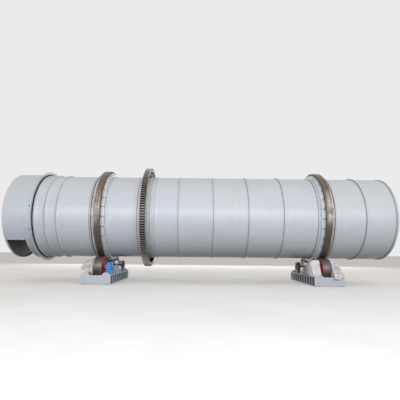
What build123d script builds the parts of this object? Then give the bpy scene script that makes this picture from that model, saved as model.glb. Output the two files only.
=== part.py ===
"""Rotary drum dryer: a horizontal drum on two roller stations, with a discharge hood at one end.

All sizes are in millimetres. X runs along the drum towards its open feed end, Z is up, and the
front of the dryer faces -Y. The origin is on the floor, below the middle of the dryer's length.
"""

import os
from math import cos, pi, radians, sin, sqrt, tan

from build123d import *

os.makedirs("parts", exist_ok=True)

# Overall
DRYER_LENGTH = 13400.0
DRUM_RADIUS = 1500.0

# Gaps between pieces
REST_GAP = 0.3
SHAFT_CLEARANCE = 0.05

# Drum shell
SHELL_WALL = 14.0
SHELL_OVERLAP_IN_HOOD = 200.0
RIB_HEIGHT = 36.0
RIB_THICKNESS = 16.0
RIB_PITCH = 1200.0
FIRST_FEED_RIB = -783.0
FEED_RIB_COUNT = 4
LAST_RIB_FROM_END = 1088.0
DISCHARGE_RIBS_FROM_FLANGE = (398.0, 790.0)
RUNNING_RING_FROM_FLANGE = 39.0

# Tyres and the seats below them
LEFT_TYRE_X = -3488.0
RIGHT_TYRE_X = 4283.0
TYRE_DEPTH = 110.0
TYRE_WIDTH = 235.0
SEAT_RISE = 16.0
SEAT_WIDTH = 600.0
PAD_COUNT = 30
PAD_WIDTH = 300.0
PAD_HEIGHT = 84.0
PAD_OVERHANG = 110.0

# Girth gear and its seat
GEAR_X = -1952.0
GEAR_MODULE = 27.0
GEAR_WIDTH = 183.0
GEAR_RIM_DEPTH = 60.0
GEAR_STANDOFF = 212.0
GEAR_DEDENDUM = 1.25
PRESSURE_ANGLE = 20.0
GEAR_SEAT_LEFT = 225.0
GEAR_SEAT_RIGHT = 339.0
GEAR_STOP_HEIGHT = 44.0
SPRING_COUNT = 12
SPRING_THICKNESS = 18.0
SPRING_WIDTH = 130.0

# Feed end
END_RING_WIDTH = 64.0
END_RING_HEIGHT = 22.0
DAM_THICKNESS = 12.0
DAM_DEPTH = 210.0

# Lifting flights
FLIGHT_COUNT = 12
FLIGHT_DEPTH = 190.0
FLIGHT_LIP = 90.0
FLIGHT_THICKNESS = 8.0
FLIGHT_END_GAP = 300.0

# Discharge hood
HOOD_LENGTH = 998.0
HOOD_WALL = 10.0
HOOD_CLEARANCE = 42.0
HOOD_END_THICKNESS = 12.0
HOOD_FLANGE_WIDTH = 108.0
HOOD_FLANGE_THICKNESS = 20.0
SEAL_THICKNESS = 12.0
SEAL_LAP = 23.0
WINDOW_TOP_ANGLE = 37.5
WINDOW_LEFT_STRIP = 59.0
WINDOW_LENGTH = 634.0
WINDOW_LIP_WIDTH = 45.0
WINDOW_LIP_THICKNESS = 10.0

# Support rollers
ROLLER_RADIUS = 340.0
ROLLER_WIDTH = 280.0
ROLLER_RIM = 50.0
ROLLER_RECESS = 16.0
ROLLER_HUB_RADIUS = 105.0
ROLLER_HOLE_RADIUS = 42.0
ROLLER_HOLE_COUNT = 6
SUPPORT_ANGLE = 27.0
SHAFT_RADIUS = 60.0
SHAFT_OVERHANG = 25.0

# Bearing housings
BEARING_OFFSET = 310.0
HOUSING_WIDTH = 180.0
HOUSING_CAP_RADIUS = 160.0
HOUSING_FOOT_LENGTH = 540.0
HOUSING_FOOT_HEIGHT = 80.0
HOUSING_SHOULDER_WIDTH = 410.0
HOUSING_SHOULDER_DROP = 75.0
HOUSING_SHOULDER_RISE = 25.0
SHAFT_HEIGHT = 273.0
COVER_RADIUS = 118.0
COVER_THICKNESS = 14.0

# Roller bases
BASE_WIDTH = 1000.0
BASE_HEIGHT = 300.0
BASE_HALF_LENGTH = 1420.0
BEAM_WIDTH = 280.0
BEAM_FLANGE = 16.0
BEAM_WEB = 12.0
STIFFENER_PITCH = 280.0
STIFFENER_THICKNESS = 12.0
END_PLATE_THICKNESS = 20.0
END_PLATE_FLOOR_GAP = 14.0
EAR_OFFSET = 340.0
EAR_HEIGHT = 90.0
EAR_BASE = 300.0
EAR_TOP = 130.0
CROSS_PLATE_Y = 420.0
CROSS_PLATE_THICKNESS = 16.0
CROSS_PLATE_TOP_GAP = 120.0
ANCHOR_HOLE_RADIUS = 17.0
ANCHOR_EDGE = 60.0
ANCHOR_FROM_END = 160.0

# Thrust rollers
THRUST_RADIUS = 200.0
THRUST_THICKNESS = 140.0
THRUST_TYRE_OVERLAP = 65.0
THRUST_CHAMFER = 15.0
THRUST_SHAFT_RADIUS = 50.0
THRUST_FLANGE_LENGTH = 440.0
THRUST_FLANGE_WIDTH = 400.0
THRUST_FLANGE_THICKNESS = 24.0
THRUST_BLOCK_LENGTH = 360.0
THRUST_BLOCK_WIDTH = 300.0
THRUST_BLOCK_ROUND = 120.0
THRUST_DISC_GAP = 45.0
THRUST_SHAFT_DEPTH = 200.0

# Covers wrapped round three bearings
WRAP_SLACK = 12.0
WRAP_THICKNESS = 26.0
WRAP_ROLLER_GAP = 8.0
WRAP_CAP_ROOM = 135.0
WRAP_RIDGE_WIDTH = 240.0
WRAP_RIDGE_OFFSET = 30.0
WRAP_END_ROOM = 160.0
WRAP_FOOT_ROOM = 185.0
WRAP_FLAP_DROP = 85.0
WRAP_SHAFT_SLACK = 16.0

# Places worked out from the sizes above
HALF_LENGTH = DRYER_LENGTH / 2
FLANGE_FACE_X = HOOD_LENGTH - HALF_LENGTH
SHELL_LEFT_X = FLANGE_FACE_X - SHELL_OVERLAP_IN_HOOD
SHELL_INNER = DRUM_RADIUS - SHELL_WALL
SEAT_RADIUS = DRUM_RADIUS + SEAT_RISE
TYRE_INNER = SEAT_RADIUS + PAD_HEIGHT
TYRE_RADIUS = TYRE_INNER + TYRE_DEPTH
ROLLER_DISTANCE = TYRE_RADIUS + REST_GAP + ROLLER_RADIUS
ROLLER_Y = ROLLER_DISTANCE * sin(radians(SUPPORT_ANGLE))
ROLLER_Z = BASE_HEIGHT + SHAFT_HEIGHT
AXIS_HEIGHT = ROLLER_Z + ROLLER_DISTANCE * cos(radians(SUPPORT_ANGLE))
GEAR_LEAST_PITCH_RADIUS = SEAT_RADIUS + GEAR_STANDOFF + GEAR_RIM_DEPTH + GEAR_DEDENDUM * GEAR_MODULE
GEAR_TEETH = round(2 * GEAR_LEAST_PITCH_RADIUS / GEAR_MODULE)
GEAR_PITCH_RADIUS = GEAR_MODULE * GEAR_TEETH / 2
GEAR_OUTER = GEAR_PITCH_RADIUS + GEAR_MODULE
GEAR_ROOT = GEAR_PITCH_RADIUS - GEAR_DEDENDUM * GEAR_MODULE
GEAR_INNER = GEAR_ROOT - GEAR_RIM_DEPTH
HOOD_RADIUS = DRUM_RADIUS + HOOD_CLEARANCE + HOOD_WALL
HOOD_FLANGE_RADIUS = HOOD_RADIUS + HOOD_FLANGE_WIDTH
ROLLER_WEB = ROLLER_WIDTH - 2 * ROLLER_RECESS
ROLLER_HOLE_CIRCLE = (ROLLER_RADIUS - ROLLER_RIM + ROLLER_HUB_RADIUS) / 2
SHAFT_HALF_LENGTH = BEARING_OFFSET + HOUSING_WIDTH / 2 + COVER_THICKNESS + SHAFT_OVERHANG
BEAM_X = (BASE_WIDTH - BEAM_WIDTH) / 2
BEAM_HALF_LENGTH = BASE_HALF_LENGTH - END_PLATE_THICKNESS
STIFFENER_COUNT = round(2 * BEAM_HALF_LENGTH / STIFFENER_PITCH) - 1
ANCHOR_SPACING_Y = 2 * (BASE_HALF_LENGTH - ANCHOR_FROM_END)
THRUST_X = TYRE_WIDTH / 2 + REST_GAP + THRUST_RADIUS
THRUST_TOP = AXIS_HEIGHT - TYRE_RADIUS + THRUST_TYRE_OVERLAP
THRUST_BOTTOM = THRUST_TOP - THRUST_THICKNESS
THRUST_HOUSING_TOP = THRUST_BOTTOM - THRUST_DISC_GAP

# Each station: its name, the middle of its tyre and the way to the middle of the dryer
STATIONS = (("left", LEFT_TYRE_X, 1), ("right", RIGHT_TYRE_X, -1))
SIDES = (("front", -1), ("rear", 1))

DRUM_AXIS = Axis((0, 0, AXIS_HEIGHT), (1, 0, 0))
DRUM_SECTION = Plane(origin=(0, 0, AXIS_HEIGHT), x_dir=(1, 0, 0), z_dir=(0, -1, 0))


def across(x, y=0.0, z=AXIS_HEIGHT):
    """The plane square to the drum at x, with its own x axis along +Y and its y axis along +Z."""
    return Plane(origin=(x, y, z), x_dir=(0, 1, 0), z_dir=(1, 0, 0))


def band(x_low, x_high, r_low, r_high):
    """A rectangle of a turned section, from x_low to x_high and from r_low to r_high."""
    with Locations(((x_low + x_high) / 2, (r_low + r_high) / 2)):
        Rectangle(x_high - x_low, r_high - r_low)


def finish(piece, name):
    """Label a finished piece and write it to its own file."""
    piece.part.label = name
    export_step(piece.part, f"parts/{name}.step")


# Drum shell with its stiffening ribs, the thicker seats below the tyres and the gear,
# and the ring that runs against the hood's seal
feed_ribs = [FIRST_FEED_RIB + n * RIB_PITCH for n in range(FEED_RIB_COUNT)]
discharge_ribs = [FLANGE_FACE_X + offset for offset in DISCHARGE_RIBS_FROM_FLANGE]
rib_places = discharge_ribs + feed_ribs + [HALF_LENGTH - LAST_RIB_FROM_END]
running_ring_x = FLANGE_FACE_X + RUNNING_RING_FROM_FLANGE

with BuildPart() as drum_shell:
    with BuildSketch(DRUM_SECTION):
        band(SHELL_LEFT_X, HALF_LENGTH, SHELL_INNER, DRUM_RADIUS)
        for x in rib_places + [running_ring_x]:
            band(x - RIB_THICKNESS / 2, x + RIB_THICKNESS / 2, SHELL_INNER, DRUM_RADIUS + RIB_HEIGHT)
        for _, tyre_x, _ in STATIONS:
            band(tyre_x - SEAT_WIDTH / 2, tyre_x + SEAT_WIDTH / 2, SHELL_INNER, SEAT_RADIUS)
        gear_seat_end = GEAR_X + GEAR_SEAT_RIGHT
        band(GEAR_X - GEAR_SEAT_LEFT, gear_seat_end, SHELL_INNER, SEAT_RADIUS)
        band(gear_seat_end, gear_seat_end + RIB_THICKNESS, SHELL_INNER, DRUM_RADIUS + GEAR_STOP_HEIGHT)
    revolve(axis=DRUM_AXIS)
finish(drum_shell, "drum_shell")

# Flat band round the feed end and the dam plate inside it
with BuildPart() as feed_end_ring:
    with BuildSketch(DRUM_SECTION):
        band(HALF_LENGTH - END_RING_WIDTH, HALF_LENGTH, DRUM_RADIUS, DRUM_RADIUS + END_RING_HEIGHT)
    revolve(axis=DRUM_AXIS)
finish(feed_end_ring, "feed_end_ring")

with BuildPart() as feed_dam:
    with BuildSketch(DRUM_SECTION):
        band(HALF_LENGTH - DAM_THICKNESS, HALF_LENGTH, SHELL_INNER - DAM_DEPTH, SHELL_INNER)
    revolve(axis=DRUM_AXIS)
finish(feed_dam, "feed_dam")

# Lifting flights: L-shaped plates along the inside of the shell
flight_start = SHELL_LEFT_X + FLIGHT_END_GAP
flight_length = HALF_LENGTH - FLIGHT_END_GAP - flight_start
with BuildPart() as flights:
    with BuildSketch(across(flight_start)):
        with PolarLocations(0, FLIGHT_COUNT):
            with Locations((SHELL_INNER - FLIGHT_DEPTH / 2, 0)):
                Rectangle(FLIGHT_DEPTH + SHELL_WALL, FLIGHT_THICKNESS)
            with Locations((SHELL_INNER - FLIGHT_DEPTH, (FLIGHT_LIP - FLIGHT_THICKNESS) / 2)):
                Rectangle(FLIGHT_THICKNESS, FLIGHT_LIP)
        Circle(SHELL_INNER, mode=Mode.INTERSECT)
    extrude(amount=flight_length)
finish(flights, "lifting_flights")

# Tyres, loose on pads that are welded to the shell's seats
for name, tyre_x, _ in STATIONS:
    with BuildPart() as tyre:
        with BuildSketch(DRUM_SECTION):
            band(tyre_x - TYRE_WIDTH / 2, tyre_x + TYRE_WIDTH / 2, TYRE_INNER, TYRE_RADIUS)
        revolve(axis=DRUM_AXIS)
    finish(tyre, f"tyre_{name}")

    pad_length = TYRE_WIDTH + 2 * PAD_OVERHANG
    with BuildPart() as pads:
        with BuildSketch(across(tyre_x - pad_length / 2)):
            with PolarLocations((SEAT_RADIUS + TYRE_INNER) / 2, PAD_COUNT):
                Rectangle(TYRE_INNER - DRUM_RADIUS, PAD_WIDTH)
            Circle(TYRE_INNER, mode=Mode.INTERSECT)
            Circle(SEAT_RADIUS, mode=Mode.SUBTRACT)
        extrude(amount=pad_length)
    finish(pads, f"tyre_pads_{name}")

# Girth gear: a toothed ring held clear of the shell
flank = tan(radians(PRESSURE_ANGLE))
half_pitch_thickness = pi * GEAR_MODULE / 4
tooth_tip = half_pitch_thickness - flank * (GEAR_OUTER - GEAR_PITCH_RADIUS)
tooth_foot = half_pitch_thickness + flank * (GEAR_PITCH_RADIUS - GEAR_ROOT)
with BuildPart() as girth_gear:
    with BuildSketch(across(GEAR_X - GEAR_WIDTH / 2)):
        Circle(GEAR_ROOT)
        with PolarLocations(0, GEAR_TEETH):
            Polygon(
                (GEAR_ROOT - GEAR_MODULE / 2, -tooth_foot),
                (GEAR_ROOT, -tooth_foot),
                (GEAR_OUTER, -tooth_tip),
                (GEAR_OUTER, tooth_tip),
                (GEAR_ROOT, tooth_foot),
                (GEAR_ROOT - GEAR_MODULE / 2, tooth_foot),
                align=None,
            )
        Circle(GEAR_INNER, mode=Mode.SUBTRACT)
    extrude(amount=GEAR_WIDTH)
finish(girth_gear, "girth_gear")

# Spring plates: each lies against the seat at one end and meets the gear's rim at the other
spring_reach = sqrt(GEAR_INNER**2 - SEAT_RADIUS**2)
with BuildPart() as gear_springs:
    with BuildSketch(across(GEAR_X - SPRING_WIDTH / 2)):
        with PolarLocations(0, SPRING_COUNT):
            with Locations((SEAT_RADIUS + SPRING_THICKNESS / 2, spring_reach / 2)):
                Rectangle(SPRING_THICKNESS, spring_reach + SPRING_THICKNESS)
        Circle(GEAR_INNER, mode=Mode.INTERSECT)
        Circle(SEAT_RADIUS, mode=Mode.SUBTRACT)
    extrude(amount=SPRING_WIDTH)
finish(gear_springs, "gear_spring_plates")

# Discharge hood: shell with the window in its lower part, end plate, flange and seal
window_left = WINDOW_LEFT_STRIP - HALF_LENGTH
window_half_width = HOOD_RADIUS * cos(radians(WINDOW_TOP_ANGLE))
window_top = AXIS_HEIGHT - HOOD_RADIUS * sin(radians(WINDOW_TOP_ANGLE))
with BuildPart() as hood_shell:
    with BuildSketch(DRUM_SECTION):
        band(HOOD_END_THICKNESS - HALF_LENGTH, FLANGE_FACE_X, HOOD_RADIUS - HOOD_WALL, HOOD_RADIUS)
    revolve(axis=DRUM_AXIS)
    with BuildSketch(across(window_left, z=window_top - HOOD_RADIUS / 2)):
        Rectangle(2 * HOOD_RADIUS, HOOD_RADIUS)
    extrude(amount=WINDOW_LENGTH, mode=Mode.SUBTRACT)
finish(hood_shell, "hood_shell")

with BuildPart() as hood_end:
    with BuildSketch(across(-HALF_LENGTH)):
        Circle(HOOD_RADIUS)
    extrude(amount=HOOD_END_THICKNESS)
finish(hood_end, "hood_end_plate")

with BuildPart() as hood_flange:
    with BuildSketch(DRUM_SECTION):
        band(FLANGE_FACE_X - HOOD_FLANGE_THICKNESS, FLANGE_FACE_X, HOOD_RADIUS, HOOD_FLANGE_RADIUS)
    revolve(axis=DRUM_AXIS)
finish(hood_flange, "hood_flange")

with BuildPart() as hood_seal:
    with BuildSketch(DRUM_SECTION):
        seal_end = FLANGE_FACE_X + SEAL_THICKNESS
        band(FLANGE_FACE_X, seal_end, DRUM_RADIUS + REST_GAP, HOOD_RADIUS + SEAL_LAP)
    revolve(axis=DRUM_AXIS)
finish(hood_seal, "hood_seal")

# Flat lips along the two straight edges of the window
with BuildPart() as window_lips:
    with BuildSketch(across(window_left, z=window_top + WINDOW_LIP_THICKNESS / 2)):
        with Locations((-window_half_width, 0), (window_half_width, 0)):
            Rectangle(2 * WINDOW_LIP_WIDTH, WINDOW_LIP_THICKNESS)
        with Locations((0, AXIS_HEIGHT - window_top - WINDOW_LIP_THICKNESS / 2)):
            Circle(HOOD_RADIUS, mode=Mode.SUBTRACT)
    extrude(amount=WINDOW_LENGTH)
finish(window_lips, "window_lips")

# Roller stations
web_height = BASE_HEIGHT - 2 * BEAM_FLANGE
for name, tyre_x, inward in STATIONS:
    with BuildPart() as beams:
        with BuildSketch(Plane.XZ):
            with Locations((tyre_x - BEAM_X, BASE_HEIGHT / 2), (tyre_x + BEAM_X, BASE_HEIGHT / 2)):
                Rectangle(BEAM_WEB, BASE_HEIGHT)
            for z in (BEAM_FLANGE / 2, BASE_HEIGHT - BEAM_FLANGE / 2):
                with Locations((tyre_x - BEAM_X, z), (tyre_x + BEAM_X, z)):
                    Rectangle(BEAM_WIDTH, BEAM_FLANGE)
        extrude(amount=BEAM_HALF_LENGTH, both=True)
        stiffener_reach = (BEAM_WIDTH - BEAM_WEB) / 2
        for way in (-1, 1):
            stiffener_x = tyre_x + way * (BEAM_X + BEAM_WEB / 2 + stiffener_reach / 2)
            with BuildSketch(Plane.XY.offset(BEAM_FLANGE)):
                with Locations((stiffener_x, 0)):
                    with GridLocations(0, STIFFENER_PITCH, 1, STIFFENER_COUNT):
                        Rectangle(stiffener_reach, STIFFENER_THICKNESS)
            extrude(amount=web_height)
        with Locations((tyre_x, 0, BEAM_FLANGE)):
            with GridLocations(BASE_WIDTH - 2 * ANCHOR_EDGE, ANCHOR_SPACING_Y, 2, 2):
                Hole(ANCHOR_HOLE_RADIUS, depth=BEAM_FLANGE)
    finish(beams, f"base_beams_{name}")

    for side, way in SIDES:
        with BuildPart() as end_plate:
            with BuildSketch(Plane.XZ.offset(-way * BEAM_HALF_LENGTH)):
                with Locations((tyre_x, (END_PLATE_FLOOR_GAP + BASE_HEIGHT) / 2)):
                    Rectangle(BASE_WIDTH, BASE_HEIGHT - END_PLATE_FLOOR_GAP)
                for ear_x in (tyre_x - EAR_OFFSET, tyre_x + EAR_OFFSET):
                    Polygon(
                        (ear_x - EAR_BASE / 2, BASE_HEIGHT),
                        (ear_x + EAR_BASE / 2, BASE_HEIGHT),
                        (ear_x + EAR_TOP / 2, BASE_HEIGHT + EAR_HEIGHT),
                        (ear_x - EAR_TOP / 2, BASE_HEIGHT + EAR_HEIGHT),
                        align=None,
                    )
            extrude(amount=-way * END_PLATE_THICKNESS)
        finish(end_plate, f"base_{side}_plate_{name}")

    with BuildPart() as cross_plates:
        with Locations((tyre_x, 0, BASE_HEIGHT - CROSS_PLATE_TOP_GAP)):
            with GridLocations(0, 2 * CROSS_PLATE_Y, 1, 2):
                Box(
                    2 * BEAM_X - BEAM_WEB,
                    CROSS_PLATE_THICKNESS,
                    BASE_HEIGHT - CROSS_PLATE_TOP_GAP - BEAM_FLANGE,
                    align=(Align.CENTER, Align.CENTER, Align.MAX),
                )
    finish(cross_plates, f"base_cross_plates_{name}")

    for side, way in SIDES:
        roller_axis = Axis((tyre_x, way * ROLLER_Y, ROLLER_Z), (1, 0, 0))
        roller_section = Plane(
            origin=(tyre_x, way * ROLLER_Y, ROLLER_Z), x_dir=(1, 0, 0), z_dir=(0, -1, 0)
        )
        with BuildPart() as roller:
            with BuildSketch(roller_section):
                half = ROLLER_WIDTH / 2
                band(-half, half, ROLLER_RADIUS - ROLLER_RIM, ROLLER_RADIUS)
                band(-ROLLER_WEB / 2, ROLLER_WEB / 2, SHAFT_RADIUS, ROLLER_RADIUS - ROLLER_RIM)
                band(-half, half, SHAFT_RADIUS, ROLLER_HUB_RADIUS)
            revolve(axis=roller_axis)
            with BuildSketch(across(tyre_x - half, way * ROLLER_Y, ROLLER_Z)):
                with PolarLocations(ROLLER_HOLE_CIRCLE, ROLLER_HOLE_COUNT):
                    Circle(ROLLER_HOLE_RADIUS)
            extrude(amount=ROLLER_WIDTH, mode=Mode.SUBTRACT)
        finish(roller, f"roller_{name}_{side}")

        with BuildPart() as shaft:
            with BuildSketch(across(tyre_x - SHAFT_HALF_LENGTH, way * ROLLER_Y, ROLLER_Z)):
                Circle(SHAFT_RADIUS)
            extrude(amount=2 * SHAFT_HALF_LENGTH)
        finish(shaft, f"roller_shaft_{name}_{side}")

        with BuildPart() as housings:
            for bearing_x in (tyre_x - BEARING_OFFSET, tyre_x + BEARING_OFFSET):
                with BuildSketch(across(bearing_x - HOUSING_WIDTH / 2, way * ROLLER_Y, ROLLER_Z)):
                    Circle(HOUSING_CAP_RADIUS)
                    with Locations((0, -SHAFT_HEIGHT / 2)):
                        Rectangle(2 * HOUSING_CAP_RADIUS, SHAFT_HEIGHT)
                    with Locations((0, (HOUSING_SHOULDER_RISE - HOUSING_SHOULDER_DROP) / 2)):
                        Rectangle(HOUSING_SHOULDER_WIDTH, HOUSING_SHOULDER_RISE + HOUSING_SHOULDER_DROP)
                    with Locations((0, HOUSING_FOOT_HEIGHT / 2 - SHAFT_HEIGHT)):
                        Rectangle(HOUSING_FOOT_LENGTH, HOUSING_FOOT_HEIGHT)
                extrude(amount=HOUSING_WIDTH)
                cover_half = HOUSING_WIDTH / 2 + COVER_THICKNESS
                with BuildSketch(across(bearing_x - cover_half, way * ROLLER_Y, ROLLER_Z)):
                    Circle(COVER_RADIUS)
                extrude(amount=2 * cover_half)
                with BuildSketch(across(bearing_x - cover_half, way * ROLLER_Y, ROLLER_Z)):
                    Circle(SHAFT_RADIUS + SHAFT_CLEARANCE)
                extrude(amount=2 * cover_half, mode=Mode.SUBTRACT)
        finish(housings, f"bearings_{name}_{side}")

    thrust_x = tyre_x + inward * THRUST_X
    with BuildPart() as thrust_roller:
        with BuildSketch(Plane.XY.offset(THRUST_BOTTOM)):
            with Locations((thrust_x, 0)):
                Circle(THRUST_RADIUS)
        extrude(amount=THRUST_THICKNESS)
        chamfer(thrust_roller.faces().sort_by(Axis.Z)[0].edges(), THRUST_CHAMFER)
        with BuildSketch(Plane.XY.offset(THRUST_HOUSING_TOP - THRUST_SHAFT_DEPTH)):
            with Locations((thrust_x, 0)):
                Circle(THRUST_SHAFT_RADIUS)
        extrude(amount=THRUST_SHAFT_DEPTH + THRUST_DISC_GAP)
    finish(thrust_roller, f"thrust_roller_{name}")

    block_height = THRUST_HOUSING_TOP - BASE_HEIGHT
    with BuildPart() as thrust_housing:
        with BuildSketch(Plane.XZ) as arch:
            with Locations((thrust_x, BASE_HEIGHT + block_height / 2)):
                Rectangle(THRUST_BLOCK_LENGTH, block_height)
            fillet(arch.vertices().group_by(Axis.Y)[-1], THRUST_BLOCK_ROUND)
        extrude(amount=THRUST_BLOCK_WIDTH / 2, both=True)
        with BuildSketch(Plane.XY.offset(BASE_HEIGHT)):
            with Locations((thrust_x, 0)):
                Rectangle(THRUST_FLANGE_LENGTH, THRUST_FLANGE_WIDTH)
        extrude(amount=THRUST_FLANGE_THICKNESS)
        with Locations((thrust_x, 0, THRUST_HOUSING_TOP)):
            Hole(THRUST_SHAFT_RADIUS + SHAFT_CLEARANCE, depth=THRUST_SHAFT_DEPTH)
    finish(thrust_housing, f"thrust_housing_{name}")

# Covers wrapped round the bearings that the front of the dryer shows covered. The two on the
# right hang down over the front plate.
wrap_peak = HOUSING_CAP_RADIUS + WRAP_CAP_ROOM
wrap_foot = HOUSING_FOOT_LENGTH / 2 + WRAP_SLACK + WRAP_THICKNESS
wrap_foot_top = HOUSING_FOOT_HEIGHT + WRAP_SLACK + WRAP_THICKNESS - SHAFT_HEIGHT
wrap_shoulder = HOUSING_SHOULDER_WIDTH / 2 + WRAP_SLACK + WRAP_THICKNESS
wrap_inner_end = ROLLER_WIDTH / 2 + WRAP_ROLLER_GAP
wrap_ridge_end = BEARING_OFFSET + WRAP_RIDGE_OFFSET
flap_outside = BASE_HALF_LENGTH + REST_GAP + WRAP_THICKNESS - ROLLER_Y


def wrap_space(tyre_x, way, hangs, inset=0.0):
    """The space inside a wrap's outside, or inside its sheet when inset by the sheet's thickness."""
    floor = REST_GAP - SHAFT_HEIGHT - 2 * inset
    front = flap_outside if hangs else wrap_foot
    with BuildPart() as space:
        with BuildSketch(across(tyre_x, -ROLLER_Y, ROLLER_Z)):
            Polygon(
                (-front, floor),
                (wrap_foot, floor),
                (wrap_foot, wrap_foot_top),
                (wrap_shoulder, HOUSING_SHOULDER_RISE),
                (WRAP_RIDGE_WIDTH / 2, wrap_peak),
                (-WRAP_RIDGE_WIDTH / 2, wrap_peak),
                (-wrap_shoulder, HOUSING_SHOULDER_RISE),
                (-wrap_foot, wrap_foot_top),
                (-front, wrap_foot_top),
                align=None,
            )
            if inset:
                offset(amount=-inset, kind=Kind.INTERSECTION, mode=Mode.REPLACE)
        extrude(amount=BASE_WIDTH, both=True)
        with BuildSketch(Plane(origin=(tyre_x, 0, ROLLER_Z), x_dir=(1, 0, 0), z_dir=(0, -1, 0))):
            Polygon(
                (way * wrap_inner_end, floor),
                (way * wrap_inner_end, wrap_peak),
                (way * wrap_ridge_end, wrap_peak),
                (way * (SHAFT_HALF_LENGTH + WRAP_END_ROOM), SHAFT_RADIUS),
                (way * (SHAFT_HALF_LENGTH + WRAP_FOOT_ROOM), floor),
                align=None,
            )
            if inset:
                offset(amount=-inset, kind=Kind.INTERSECTION, mode=Mode.REPLACE)
        extrude(amount=2 * BASE_HALF_LENGTH, both=True, mode=Mode.INTERSECT)
    return space.part


wrapped = (
    ("left_outer", LEFT_TYRE_X, -1, False),
    ("right_inner", RIGHT_TYRE_X, -1, True),
    ("right_outer", RIGHT_TYRE_X, 1, True),
)
for name, tyre_x, way, hangs in wrapped:
    outside = wrap_space(tyre_x, way, hangs)
    hollow = wrap_space(tyre_x, way, hangs, inset=WRAP_THICKNESS)
    with BuildPart() as wrap:
        add(outside)
        add(hollow, mode=Mode.SUBTRACT)
        with BuildSketch(across(tyre_x + way * BEARING_OFFSET, -ROLLER_Y, ROLLER_Z)):
            Circle(SHAFT_RADIUS + WRAP_SHAFT_SLACK)
        extrude(amount=-way * BEARING_OFFSET, mode=Mode.SUBTRACT)
        if hangs:
            flap_width = BASE_WIDTH / 2 - wrap_inner_end
            flap_height = WRAP_FLAP_DROP + WRAP_THICKNESS
            flap_x = tyre_x + way * (wrap_inner_end + flap_width / 2)
            with Locations((flap_x, -ROLLER_Y - flap_outside, BASE_HEIGHT - WRAP_FLAP_DROP)):
                Box(flap_width, WRAP_THICKNESS, flap_height, align=(Align.CENTER, Align.MIN, Align.MIN))
    finish(wrap, f"wrap_{name}")
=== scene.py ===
"""Rotary drum dryer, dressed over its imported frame.

All sizes are in metres. X runs along the drum towards its open feed end, Z is up, and the front of
the dryer faces -Y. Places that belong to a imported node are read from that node's box.
"""

import logging
import math
from collections.abc import Callable, Sequence
from dataclasses import dataclass, field, replace
from enum import Enum

import bmesh
import bpy
from mathutils import Matrix, Vector, noise


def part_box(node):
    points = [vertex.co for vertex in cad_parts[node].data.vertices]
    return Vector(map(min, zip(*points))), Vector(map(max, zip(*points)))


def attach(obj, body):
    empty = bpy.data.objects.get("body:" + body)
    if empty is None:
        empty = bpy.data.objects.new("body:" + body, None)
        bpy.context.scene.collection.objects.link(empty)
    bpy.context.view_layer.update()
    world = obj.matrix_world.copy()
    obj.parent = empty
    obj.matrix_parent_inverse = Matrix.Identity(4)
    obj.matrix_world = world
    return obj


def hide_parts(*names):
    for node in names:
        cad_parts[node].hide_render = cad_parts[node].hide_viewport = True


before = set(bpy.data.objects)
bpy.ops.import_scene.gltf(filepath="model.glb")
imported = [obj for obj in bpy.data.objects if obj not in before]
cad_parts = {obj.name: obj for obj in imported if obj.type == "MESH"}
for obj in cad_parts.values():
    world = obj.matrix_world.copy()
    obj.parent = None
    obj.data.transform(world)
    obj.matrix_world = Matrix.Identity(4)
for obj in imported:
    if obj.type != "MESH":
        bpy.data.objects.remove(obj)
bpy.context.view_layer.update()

log = logging.getLogger("rotary_drum_dryer")


Point2 = tuple[float, float]
Profile = list[Point2]
Marks = list[tuple[Vector, Vector]]
Inputs = dict[str | int, object]
Mesh = bpy.types.Mesh
Piece = bpy.types.Object
Material = bpy.types.Material
Node = bpy.types.Node
Socket = bpy.types.NodeSocket

FULL_TURN = 2 * math.pi
SHARP_ANGLE = math.radians(28)
TINY = 1e-6
UP = Vector((0, 0, 1))


class Body(Enum):
    """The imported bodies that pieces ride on."""

    STAND = "stand"
    DRUM = "drum"


class Station(Enum):
    """The two roller stations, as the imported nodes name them."""

    LEFT = "left"
    RIGHT = "right"


class Side(Enum):
    """Front or rear of the dryer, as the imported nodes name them."""

    FRONT = "front"
    REAR = "rear"


@dataclass(frozen=True)
class NodeBox:
    """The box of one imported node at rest."""

    low: Vector
    high: Vector

    @classmethod
    def of(cls, node: str) -> "NodeBox":
        """The box of the node with this name."""
        return cls(*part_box(node))

    @property
    def middle(self) -> Vector:
        """The middle of the box."""
        return (self.low + self.high) / 2

    @property
    def size(self) -> Vector:
        """The box's length along each axis."""
        return self.high - self.low


# Shapes


@dataclass(frozen=True)
class Turning:
    """The line that a turned piece goes round."""

    origin: Vector
    along: Vector

    @classmethod
    def level(cls, x: float, y: float, z: float) -> "Turning":
        """A line along X through a point."""
        return cls(Vector((x, y, z)), Vector((1, 0, 0)))

    @classmethod
    def upright(cls, x: float, y: float) -> "Turning":
        """A line along Z, with its origin on the floor."""
        return cls(Vector((x, y, 0)), Vector((0, 0, 1)))

    def arms(self) -> tuple[Vector, Vector]:
        """Two directions square to the line and to each other."""
        first = Vector((0, 1, 0)) if abs(self.along.x) > 0.5 else Vector((1, 0, 0))
        return first, self.along.cross(first)

    def point(self, run: float, radius: float, angle: float) -> Vector:
        """A point at a distance along the line, a radius and an angle.

        Args:
            run: Distance along the line from its origin.
            radius: Distance from the line.
            angle: Angle round the line, in radians.

        Returns:
            The point in the row frame.
        """
        first, second = self.arms()
        outward = first * math.cos(angle) + second * math.sin(angle)
        return self.origin + self.along * run + outward * radius

    def outward(self, run: float, point: Vector) -> Vector:
        """The way to a point from the line's own point at this run."""
        return (point - self.point(run, 0, 0)).normalized()


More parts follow.
